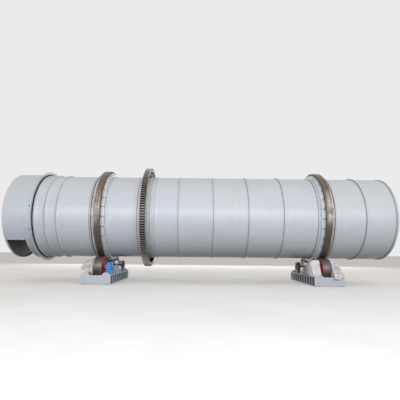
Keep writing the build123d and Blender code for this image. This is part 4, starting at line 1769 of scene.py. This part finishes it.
    def build_thrust_housing(self, line: Turning, neck: float) -> None:
        """The arched block that carries the thrust roller's shaft, on its bolted plate.

        Args:
            line: The thrust roller's upright line.
            neck: The height of the shaft's lower end.
        """
        node = f"thrust_housing_{self.title}"
        box = NodeBox.of(node)
        paint = self.finishes["thrust_paint"]
        x, y, foot, crown = line.origin.x, line.origin.y, box.low.z, box.high.z
        flange, half, plate_top = box.size.x / 2, self.arch_length / 2, self.arch_plate
        plate = [(-flange, 0), (flange, 0), (flange, plate_top), (-flange, plate_top)]
        rise, curve = crown - foot, self.arch_round
        arch: Profile = [(-half, plate_top - 0.004), (half, plate_top - 0.004)]
        for way, first in ((1, 0.0), (-1, math.pi / 2)):
            middle = way * (half - curve)
            for step in range(self.arch_steps + 1):
                angle = first + math.pi / 2 * step / self.arch_steps
                arch.append((middle + curve * math.cos(angle), rise - curve + curve * math.sin(angle)))
        blocks = [
            extruded(name, outline, y - depth / 2, y + depth / 2, (x, foot), paint, edge, along_y=True)
            for name, outline, depth, edge in (
                ("foot", plate, box.size.y, 0.004), ("arch", arch, self.arch_width, 0.01),
            )
        ]
        bore = ring_section(neck - 0.003, crown + 0.02, 0, self.thrust_neck + 0.002)
        blocks[1] = cut_out(blocks[1], turned("bore", line, bore, [], segments=48))
        place(join(f"thrust_block_{self.title}", blocks), Body.STAND.value, "base_paint", [node])
        heads = []
        for way in (-1, 1):
            for across in self.plate_bolts:
                heads.append((Vector((x + across, y + way * self.plate_bolt_row, foot + plate_top)), UP))
            for across, up in self.cover_screws(half, rise):
                spot = Vector((x + across, y + way * self.arch_width / 2, foot + up))
                heads.append((spot, Vector((0, way, 0))))
        self.bolt(f"thrust_bolts_{self.title}", heads, self.thrust_bolt, Body.STAND, "base_paint")

    def cover_screws(self, half: float, rise: float) -> Profile:
        """Where the screws of the arch's face plates are.

        Args:
            half: Half the arch's length.
            rise: The arch's height above its foot.

        Returns:
            (along, height) points from the foot's middle.
        """
        edge = self.screw_edge
        spots: Profile = [(way * (half - edge), up) for way in (-1, 1) for up in self.screw_heights]
        reach = self.arch_round - edge
        for way in (-1, 1):
            for degrees in self.screw_angles:
                angle = math.radians(degrees)
                across = half - self.arch_round + reach * math.cos(angle)
                spots.append((way * across, rise - self.arch_round + reach * math.sin(angle)))
        return spots

    def dress_nodes(self) -> None:
        """Finish the base's plates."""
        names = [f"base_{part}_{self.title}" for part in ("front_plate", "rear_plate", "cross_plates")]
        dress(names, self.finishes["base_paint"])
        dress([f"base_beams_{self.title}"], self.finishes["beam_paint"])


@dataclass(frozen=True)
class WrapCut:
    """One packing cloth: where it lies, how it was cut and what bulges under it.

    Reaches go from the tyre's middle away along X, and heights are above the floor.
    """

    title: str
    station: Station
    way: int
    bulk: tuple[Point2, ...]
    laid: tuple[Point2, ...]
    ahead: tuple[Point2, ...]
    behind: tuple[Point2, ...]
    finish: str
    seed: float

    @property
    def node(self) -> str:
        """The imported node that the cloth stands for."""
        return f"wrap_{self.station.value}_{self.title}"


def along(points: Sequence[Point2], at: float) -> float:
    """A value between listed ones.

    Args:
        points: (place, value) pairs with rising places.
        at: The place asked for.

    Returns:
        The value there, held at both ends.
    """
    for (start, low), (end, high) in zip(points, points[1:]):
        if at <= end:
            share = max(0.0, (at - start) / max(end - start, TINY))
            return low + (high - low) * share
    return points[-1][1]


@dataclass
class Wraps:
    """The three packing cloths that lie over bearings, let fall and settle as real sheets do."""

    finishes: Finishes
    step: float = 0.024
    quick_step: float = 0.05
    frames: int = 60
    quick_frames: int = 24
    clearance: float = 0.004
    thickness: float = 0.0016
    unevenness: float = 0.005
    stray_pitch: int = 7
    stray_shift: int = 31
    guard: float = 0.147
    guard_height: float = 1.3
    box_depth: float = 0.9
    base_top: float = 0.3
    lump: float = 0.012
    lump_pitch: int = 11
    bulk_grid: tuple[int, int] = (20, 28)
    ridge: tuple[Point2, ...] = ((0.0, 0.846), (0.1, 0.846), (0.222, 0.59), (0.288, 0.41), (0.292, 0.28))

    def cuts(self) -> tuple[WrapCut, ...]:
        """The three cloths of the dryer."""
        return (
            WrapCut(
                "outer", Station.LEFT, -1,
                bulk=((0.17, 0.846), (0.24, 0.846), (0.34, 0.79), (0.43, 0.7), (0.53, 0.66), (0.545, 0.3)),
                laid=(
                    (0.158, 0.4), (0.158, 0.864), (0.17, 0.876), (0.26, 0.876),
                    (0.44, 0.73), (0.555, 0.67), (0.56, 0.57),
                ),
                ahead=((0.0, 0.48), (0.25, 0.6), (0.5, 0.64), (0.74, 0.58), (1.0, 0.34)),
                behind=((0.0, 0.34), (0.35, 0.46), (0.7, 0.34), (1.0, 0.2)),
                finish="wrap_cloth_grey", seed=3.0,
            ),
            WrapCut(
                "inner", Station.RIGHT, -1,
                bulk=((0.2, 0.846), (0.4, 0.846), (0.475, 0.8), (0.51, 0.6), (0.52, 0.3)),
                laid=(
                    (0.19, 0.66), (0.19, 0.864), (0.205, 0.876), (0.4, 0.876),
                    (0.495, 0.82), (0.538, 0.62), (0.542, 0.46),
                ),
                ahead=(
                    (0.0, 0.34), (0.14, 0.46), (0.3, 0.72), (0.45, 0.8),
                    (0.62, 0.74), (0.8, 0.56), (1.0, 0.36),
                ),
                behind=((0.0, 0.34), (0.35, 0.46), (0.6, 0.36), (0.8, 0.26), (1.0, 0.18)),
                finish="wrap_cloth", seed=11.0,
            ),
            WrapCut(
                "outer", Station.RIGHT, 1,
                bulk=((0.17, 0.846), (0.32, 0.846), (0.41, 0.8), (0.475, 0.63), (0.55, 0.45), (0.585, 0.3)),
                laid=(
                    (0.158, 0.36), (0.158, 0.864), (0.17, 0.876), (0.33, 0.876),
                    (0.42, 0.83), (0.5, 0.64), (0.575, 0.47), (0.582, 0.4),
                ),
                ahead=((0.0, 0.6), (0.14, 0.7), (0.35, 0.84), (0.55, 0.85), (0.78, 0.72), (1.0, 0.46)),
                behind=((0.0, 0.34), (0.35, 0.56), (0.7, 0.44), (1.0, 0.3)),
                finish="wrap_cloth_marked", seed=23.0,
            ),
        )

    def build(self) -> None:
        """Lay out the sheets, let them fall together and dress them."""
        laid: list[tuple[WrapCut, Piece, float, Point2]] = []
        under: list[Piece] = []
        for station in Station:
            under += self.supports(station)
        for cut in self.cuts():
            under.append(self.bulk(cut))
            laid.append((cut, *self.lay_out(cut)))
        for support in under:
            self.carry(support)
        self.let_fall([sheet for _, sheet, _, _ in laid])
        for support in under:
            bpy.data.objects.remove(support)
        for cut, sheet, area, flat in laid:
            piece = self.thicken(cut, sheet)
            place(piece, Body.STAND.value, "wrap_cloth", [cut.node])

    def origin(self, cut: WrapCut) -> Point2:
        """The tyre's middle along X and the bearing's middle along Y."""
        roller = NodeBox.of(f"roller_{cut.station.value}_front").middle
        return roller.x, roller.y

    def lay_out(self, cut: WrapCut) -> tuple[Piece, float, Point2]:
        """A flat-cut sheet, bent once over the bearing and held out level fore and aft.

        Args:
            cut: The cloth's plan.

        Returns:
            The sheet, its flat area and the width and length of the roll it was cut from.
        """
        step = self.step
        lengths = [0.0]
        for (u0, z0), (u1, z1) in zip(cut.laid, cut.laid[1:]):
            lengths.append(lengths[-1] + math.hypot(u1 - u0, z1 - z0))
        reach = [(run, point[0]) for run, point in zip(lengths, cut.laid)]
        height = [(run, point[1]) for run, point in zip(lengths, cut.laid)]
        width = lengths[-1]
        columns = math.ceil(width / step)
        longest = max(length for _, length in cut.ahead) + max(length for _, length in cut.behind)
        rows = math.ceil(longest / step)
        x0, y0 = self.origin(cut)
        bm = bmesh.new()
        flat_layer = bm.loops.layers.uv.new("cut")
        grid, flat = [], {}
        for column in range(columns + 1):
            share = column / columns
            run = width * share
            front, back = along(cut.ahead, share), along(cut.behind, share)
            line = []
            for row in range(rows + 1):
                t = -front + (front + back) * row / rows
                u, v = run * self.stray_pitch, t * self.stray_pitch
                at = [Vector((u + way * self.stray_shift, v, cut.seed)) for way in range(3)]
                stray = Vector(noise.noise(spot) for spot in at) * self.unevenness
                spot = Vector((x0 + cut.way * along(reach, run), y0 + t, along(height, run)))
                vert = bm.verts.new(spot + Vector((stray.x * 0.4, stray.y, stray.z)))
                flat[vert] = Vector((run, t))
                line.append(vert)
            grid.append(line)
        area = 0.0
        for here, ahead in zip(grid, grid[1:]):
            for row in range(rows):
                corners = [here[row], ahead[row], ahead[row + 1], here[row + 1]]
                face = bm.faces.new(corners)
                face.smooth = True
                for loop in face.loops:
                    loop[flat_layer].uv = flat[loop.vert]
                first, second = flat[corners[2]] - flat[corners[0]], flat[corners[3]] - flat[corners[1]]
                area += abs(first.cross(second)) / 2
        mesh = bpy.data.meshes.new(f"{cut.node}_sheet")
        bm.to_mesh(mesh)
        bm.free()
        return make_object(f"{cut.node}_sheet", mesh, []), area, (width, longest)

    def supports(self, station: Station) -> list[Piece]:
        """What the cloths of a station meet besides the bulk: the roller's side, the base, the floor.

        Args:
            station: The cloths' station.

        Returns:
            Hidden objects that are taken away after the fall.
        """
        roller = NodeBox.of(f"roller_{station.value}_front").middle
        plate = NodeBox.of(f"base_front_plate_{station.value}")
        x, y, behind, guard = roller.x, roller.y, roller.y + self.box_depth, self.guard
        ears = node_copy(f"base_front_plate_{station.value}", 0.0005)
        return [
            close_mesh("front_plate_copy", ears, []),
            self.box("roller_side", (x - guard, y - 1.1, 0.0), (x + guard, behind, self.guard_height)),
            self.box("beam_top", (plate.low.x, plate.high.y, 0.0), (plate.high.x, behind, self.base_top)),
            self.box("shop_floor", (x - 1.5, y - 2.0, -0.3), (x + 1.5, behind + 0.5, 0.0)),
        ]

    def carry(self, support: Piece) -> None:
        """Make an object carry the cloths."""
        support.modifiers.new("collision", "COLLISION")
        contact = {
            "thickness_outer": self.clearance, "thickness_inner": 0.02,
            "cloth_friction": 18.0, "damping": 0.4,
        }
        for title, value in contact.items():
            setattr(support.collision, title, value)
        support.hide_render = True

    def box(self, name: str, low: Sequence[float], high: Sequence[float]) -> Piece:
        """A plain box for the cloth to rest on while it falls.

        Args:
            name: Its name.
            low: Its lowest corner.
            high: Its highest corner.

        Returns:
            The box.
        """
        bm = bmesh.new()
        bmesh.ops.create_cube(bm, size=1.0)
        size = Vector(high) - Vector(low)
        middle = (Vector(high) + Vector(low)) / 2
        for vert in bm.verts:
            vert.co = middle + Vector(a * b for a, b in zip(vert.co, size))
        return close_mesh(name, bm, [])

    def bulk(self, cut: WrapCut) -> Piece:
        """The lumpy bulk of the bearing, its cap and what is packed round it.

        Args:
            cut: The cloth's plan.

        Returns:
            A closed form.
        """
        x0, y0 = self.origin(cut)
        nearest, farthest = cut.bulk[0][0], cut.bulk[-1][0]
        across = self.ridge[-1][0]
        columns, rows = self.bulk_grid
        bottom = self.base_top - 0.02
        bm = bmesh.new()
        grid = []
        for column in range(columns + 1):
            reach = nearest + (farthest - nearest) * column / columns
            line = []
            for row in range(rows + 1):
                off = -across + 2 * across * row / rows
                top = min(along(cut.bulk, reach), along(self.ridge, abs(off)))
                spot = Vector((reach * self.lump_pitch, off * self.lump_pitch, cut.seed))
                bump = self.lump * noise.noise(spot)
                line.append(bm.verts.new((x0 + cut.way * reach, y0 + off, max(bottom + 0.01, top + bump))))
            grid.append(line)
        for here, ahead in zip(grid, grid[1:]):
            for row in range(rows):
                bm.faces.new((here[row], ahead[row], ahead[row + 1], here[row + 1]))
        rim = [edge for edge in bm.edges if len(edge.link_faces) == 1]
        pulled = bmesh.ops.extrude_edge_only(bm, edges=rim)["geom"]
        low = [item for item in pulled if isinstance(item, bmesh.types.BMVert)]
        for vert in low:
            vert.co.z = bottom
        bmesh.ops.holes_fill(bm, edges=[edge for edge in bm.edges if len(edge.link_faces) == 1], sides=0)
        bmesh.ops.recalc_face_normals(bm, faces=bm.faces)
        return close_mesh("bulk", bm, [])

    def let_fall(self, sheets: Sequence[Piece]) -> None:
        """Run the cloth simulation over all the sheets and keep where they come to rest.

        Args:
            sheets: The laid out sheets, whose meshes are replaced.
        """
        frames = self.frames
        woven = {
            "quality": 9, "mass": 0.2, "air_damping": 1.5, "tension_stiffness": 25.0,
            "compression_stiffness": 25.0, "shear_stiffness": 12.0, "bending_stiffness": 1.2,
        }
        contact = {
            "collision_quality": 4, "distance_min": self.clearance, "friction": 12.0,
            "use_self_collision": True, "self_distance_min": self.clearance,
        }
        for sheet in sheets:
            cloth = sheet.modifiers.new("cloth", "CLOTH")
            lasting = {"frame_start": 1, "frame_end": frames}
            for part, values in (
                (cloth.settings, woven), (cloth.collision_settings, contact), (cloth.point_cache, lasting),
            ):
                for title, value in values.items():
                    setattr(part, title, value)
        scene = bpy.context.scene
        scene.frame_start, scene.frame_end = 1, frames
        for moment in range(1, frames + 1):
            scene.frame_set(moment)
        graph = bpy.context.evaluated_depsgraph_get()
        rested = [bpy.data.meshes.new_from_object(sheet.evaluated_get(graph)) for sheet in sheets]
        for sheet, mesh in zip(sheets, rested):
            sheet.modifiers.clear()
            sheet.data = mesh
        scene.frame_set(1)

    def thicken(self, cut: WrapCut, sheet: Piece) -> Piece:
        """Smooth a rested sheet and give it the cloth's thickness.

        Args:
            cut: The cloth's plan.
            sheet: The rested sheet, which is used up.

        Returns:
            The finished cloth.
        """
        smooth = sheet.modifiers.new("smooth", "SUBSURF")
        smooth.levels = smooth.render_levels = 1
        solid = sheet.modifiers.new("thickness", "SOLIDIFY")
        solid.thickness = self.thickness
        solid.offset = 0.0
        mesh = evaluated_mesh(sheet)
        bpy.data.objects.remove(sheet)
        name = f"packing_cloth_{cut.station.value}_{cut.title}"
        return make_object(name, mesh, [self.finishes[cut.finish]])


@dataclass
class Studio:
    """Pale floor and backdrop, soft lamps, and the camera of the photograph."""

    lens: float = 29.73
    sensor: float = 36.0
    yaw: float = 0.297
    pitch: float = 8.0
    roll: float = 0.582
    eye: tuple[float, float, float] = (-0.107, -12.608, 1.116)
    shift_down: float = 5 / 400
    reach: float = 120.0
    floor_tones: tuple[str, str] = ("DAD9D7", "D3D2D0")
    floor_dark: str = "454340"
    floor_glow: float = 0.34
    sky_tone: str = "F8F0E8"
    backdrop_tone: str = "EBEBEC"
    sky_low: float = 0.34
    sky_high: float = 0.55
    front_power: float = 2300.0
    rear_power: float = 1100.0
    feed_power: float = 300.0
    discharge_power: float = 180.0

    def build(self) -> None:
        """Build the stage, the lamps and the camera."""
        self.build_floor()
        self.build_world()
        self.build_lamps()
        self.build_camera()

    def seen(self, sheet: NodeSheet) -> Socket:
        """Whether a ray shows the backdrop: straight to the camera, in a gloss or through glass."""
        rays = sheet.add("ShaderNodeLightPath").outputs
        shown = rays["Is Camera Ray"]
        for kind in ("Is Glossy Ray", "Is Transmission Ray"):
            shown = sheet.get("ShaderNodeMath", {0: shown, 1: rays[kind]}, operation="MAXIMUM")
        return shown

    def build_floor(self) -> None:
        """A plain floor, pale where it is seen and dark to the light that it throws back."""
        mesh = bpy.data.meshes.new("studio_floor")
        corners = [(x * self.reach, y * self.reach, 0) for x, y in ((-1, -1), (1, -1), (1, 1), (-1, 1))]
        mesh.from_pydata(corners, [], [(0, 1, 2, 3)])
        sheet = ShaderSheet("studio_floor")
        first, second = self.floor_tones
        pale = sheet.stain(colour(first), second, Patches(0.6, 4.0, 0.3, 0.7))
        lit = sheet.get("ShaderNodeBsdfDiffuse", {"Color": pale})
        glow = sheet.get("ShaderNodeEmission", {"Color": pale, "Strength": self.floor_glow})
        shown = sheet.get("ShaderNodeAddShader", {0: lit, 1: glow})
        dark = sheet.get("ShaderNodeBsdfDiffuse", {"Color": colour(self.floor_dark)})
        both = sheet.get("ShaderNodeMixShader", {0: self.seen(sheet), 1: dark, 2: shown})
        sheet.add("ShaderNodeOutputMaterial", {"Surface": both})
        floor = make_object("studio_floor", mesh, [sheet.material])
        floor.location.z = -0.002

    def build_world(self) -> None:
        """A soft sky over the dryer, and a pale backdrop where it is seen."""
        world = bpy.data.worlds.new("studio")
        world.use_nodes = True
        sky = NodeSheet(world.node_tree)
        sky.tree.nodes.clear()
        way = sky.add("ShaderNodeTexCoord").outputs["Generated"]
        height = sky.add("ShaderNodeSeparateXYZ", {"Vector": way}).outputs["Z"]
        rise = {"Value": height, "To Min": self.sky_low, "To Max": self.sky_high}
        strength = sky.get("ShaderNodeMapRange", rise, clamp=True)
        lit = sky.get("ShaderNodeBackground", {"Color": colour(self.sky_tone), "Strength": strength})
        backdrop = sky.get("ShaderNodeBackground", {"Color": colour(self.backdrop_tone), "Strength": 1.0})
        both = sky.get("ShaderNodeMixShader", {0: self.seen(sky), 1: lit, 2: backdrop})
        sky.add("ShaderNodeOutputWorld", {"Surface": both})
        bpy.context.scene.world = world

    def build_lamps(self) -> None:
        """A long low lamp before the dryer, and weaker ones behind it and at its ends."""
        wide, narrow, middle = (26.0, 6.0), (7.0, 6.0), (0.0, 0.0, 2.6)
        for name, spot, aim, size, power, tint in (
            ("front", (0.3, -15.0, 4.2), middle, wide, self.front_power, "F1F6FF"),
            ("rear", (0.0, 15.0, 4.6), middle, wide, self.rear_power, "F6F8FF"),
            ("feed_end", (17.0, -3.0, 5.0), (6.0, 0.0, 2.4), narrow, self.feed_power, "FFFFFF"),
            ("discharge_end", (-17.0, -3.0, 5.0), (-6.0, 0.0, 2.4), narrow, self.discharge_power, "FFFFFF"),
        ):
            lamp = bpy.data.lights.new(name, "AREA")
            lamp.shape = "RECTANGLE"
            lamp.size, lamp.size_y = size
            lamp.energy = power
            lamp.color = colour(tint)[:3]
            holder = bpy.data.objects.new(f"lamp_{name}", lamp)
            bpy.context.scene.collection.objects.link(holder)
            holder.location = spot
            holder.visible_camera = False
            way = Vector(aim) - Vector(spot)
            holder.rotation_euler = way.to_track_quat("-Z", "Y").to_euler()

    def build_camera(self) -> None:
        """The camera at the photograph's place, turned by its yaw, pitch and roll."""
        yaw, pitch, roll = (math.radians(angle) for angle in (self.yaw, self.pitch, self.roll))
        ahead = Vector((math.sin(yaw) * math.cos(pitch), math.cos(yaw) * math.cos(pitch), math.sin(pitch)))
        level = Vector((math.cos(yaw), -math.sin(yaw), 0))
        above = level.cross(ahead)
        right = level * math.cos(roll) + above * math.sin(roll)
        up = above * math.cos(roll) - level * math.sin(roll)
        lens = bpy.data.cameras.new("photo_camera")
        lens.lens = self.lens
        lens.sensor_width = self.sensor
        lens.shift_y = self.shift_down
        lens.clip_end = 400.0
        camera = bpy.data.objects.new("photo_camera", lens)
        bpy.context.scene.collection.objects.link(camera)
        turn = Matrix((right, up, -ahead)).transposed()
        camera.matrix_world = Matrix.Translation(self.eye) @ turn.to_4x4()
        bpy.context.scene.camera = camera


def main() -> None:
    """Build the dressed dryer and its studio in order."""
    logging.basicConfig(level=logging.INFO, format="%(message)s")
    bpy.context.scene.view_settings.view_transform = "Standard"
    finishes = Finishes()
    finishes.build()
    repeats = Repeats()
    Studio().build()
    Drum(finishes, repeats).build()
    Hood(finishes, repeats).build()
    for station in Station:
        RollerStation(finishes, repeats, station).build()
    Wraps(finishes).build()


if __name__ == "__main__":
    main()
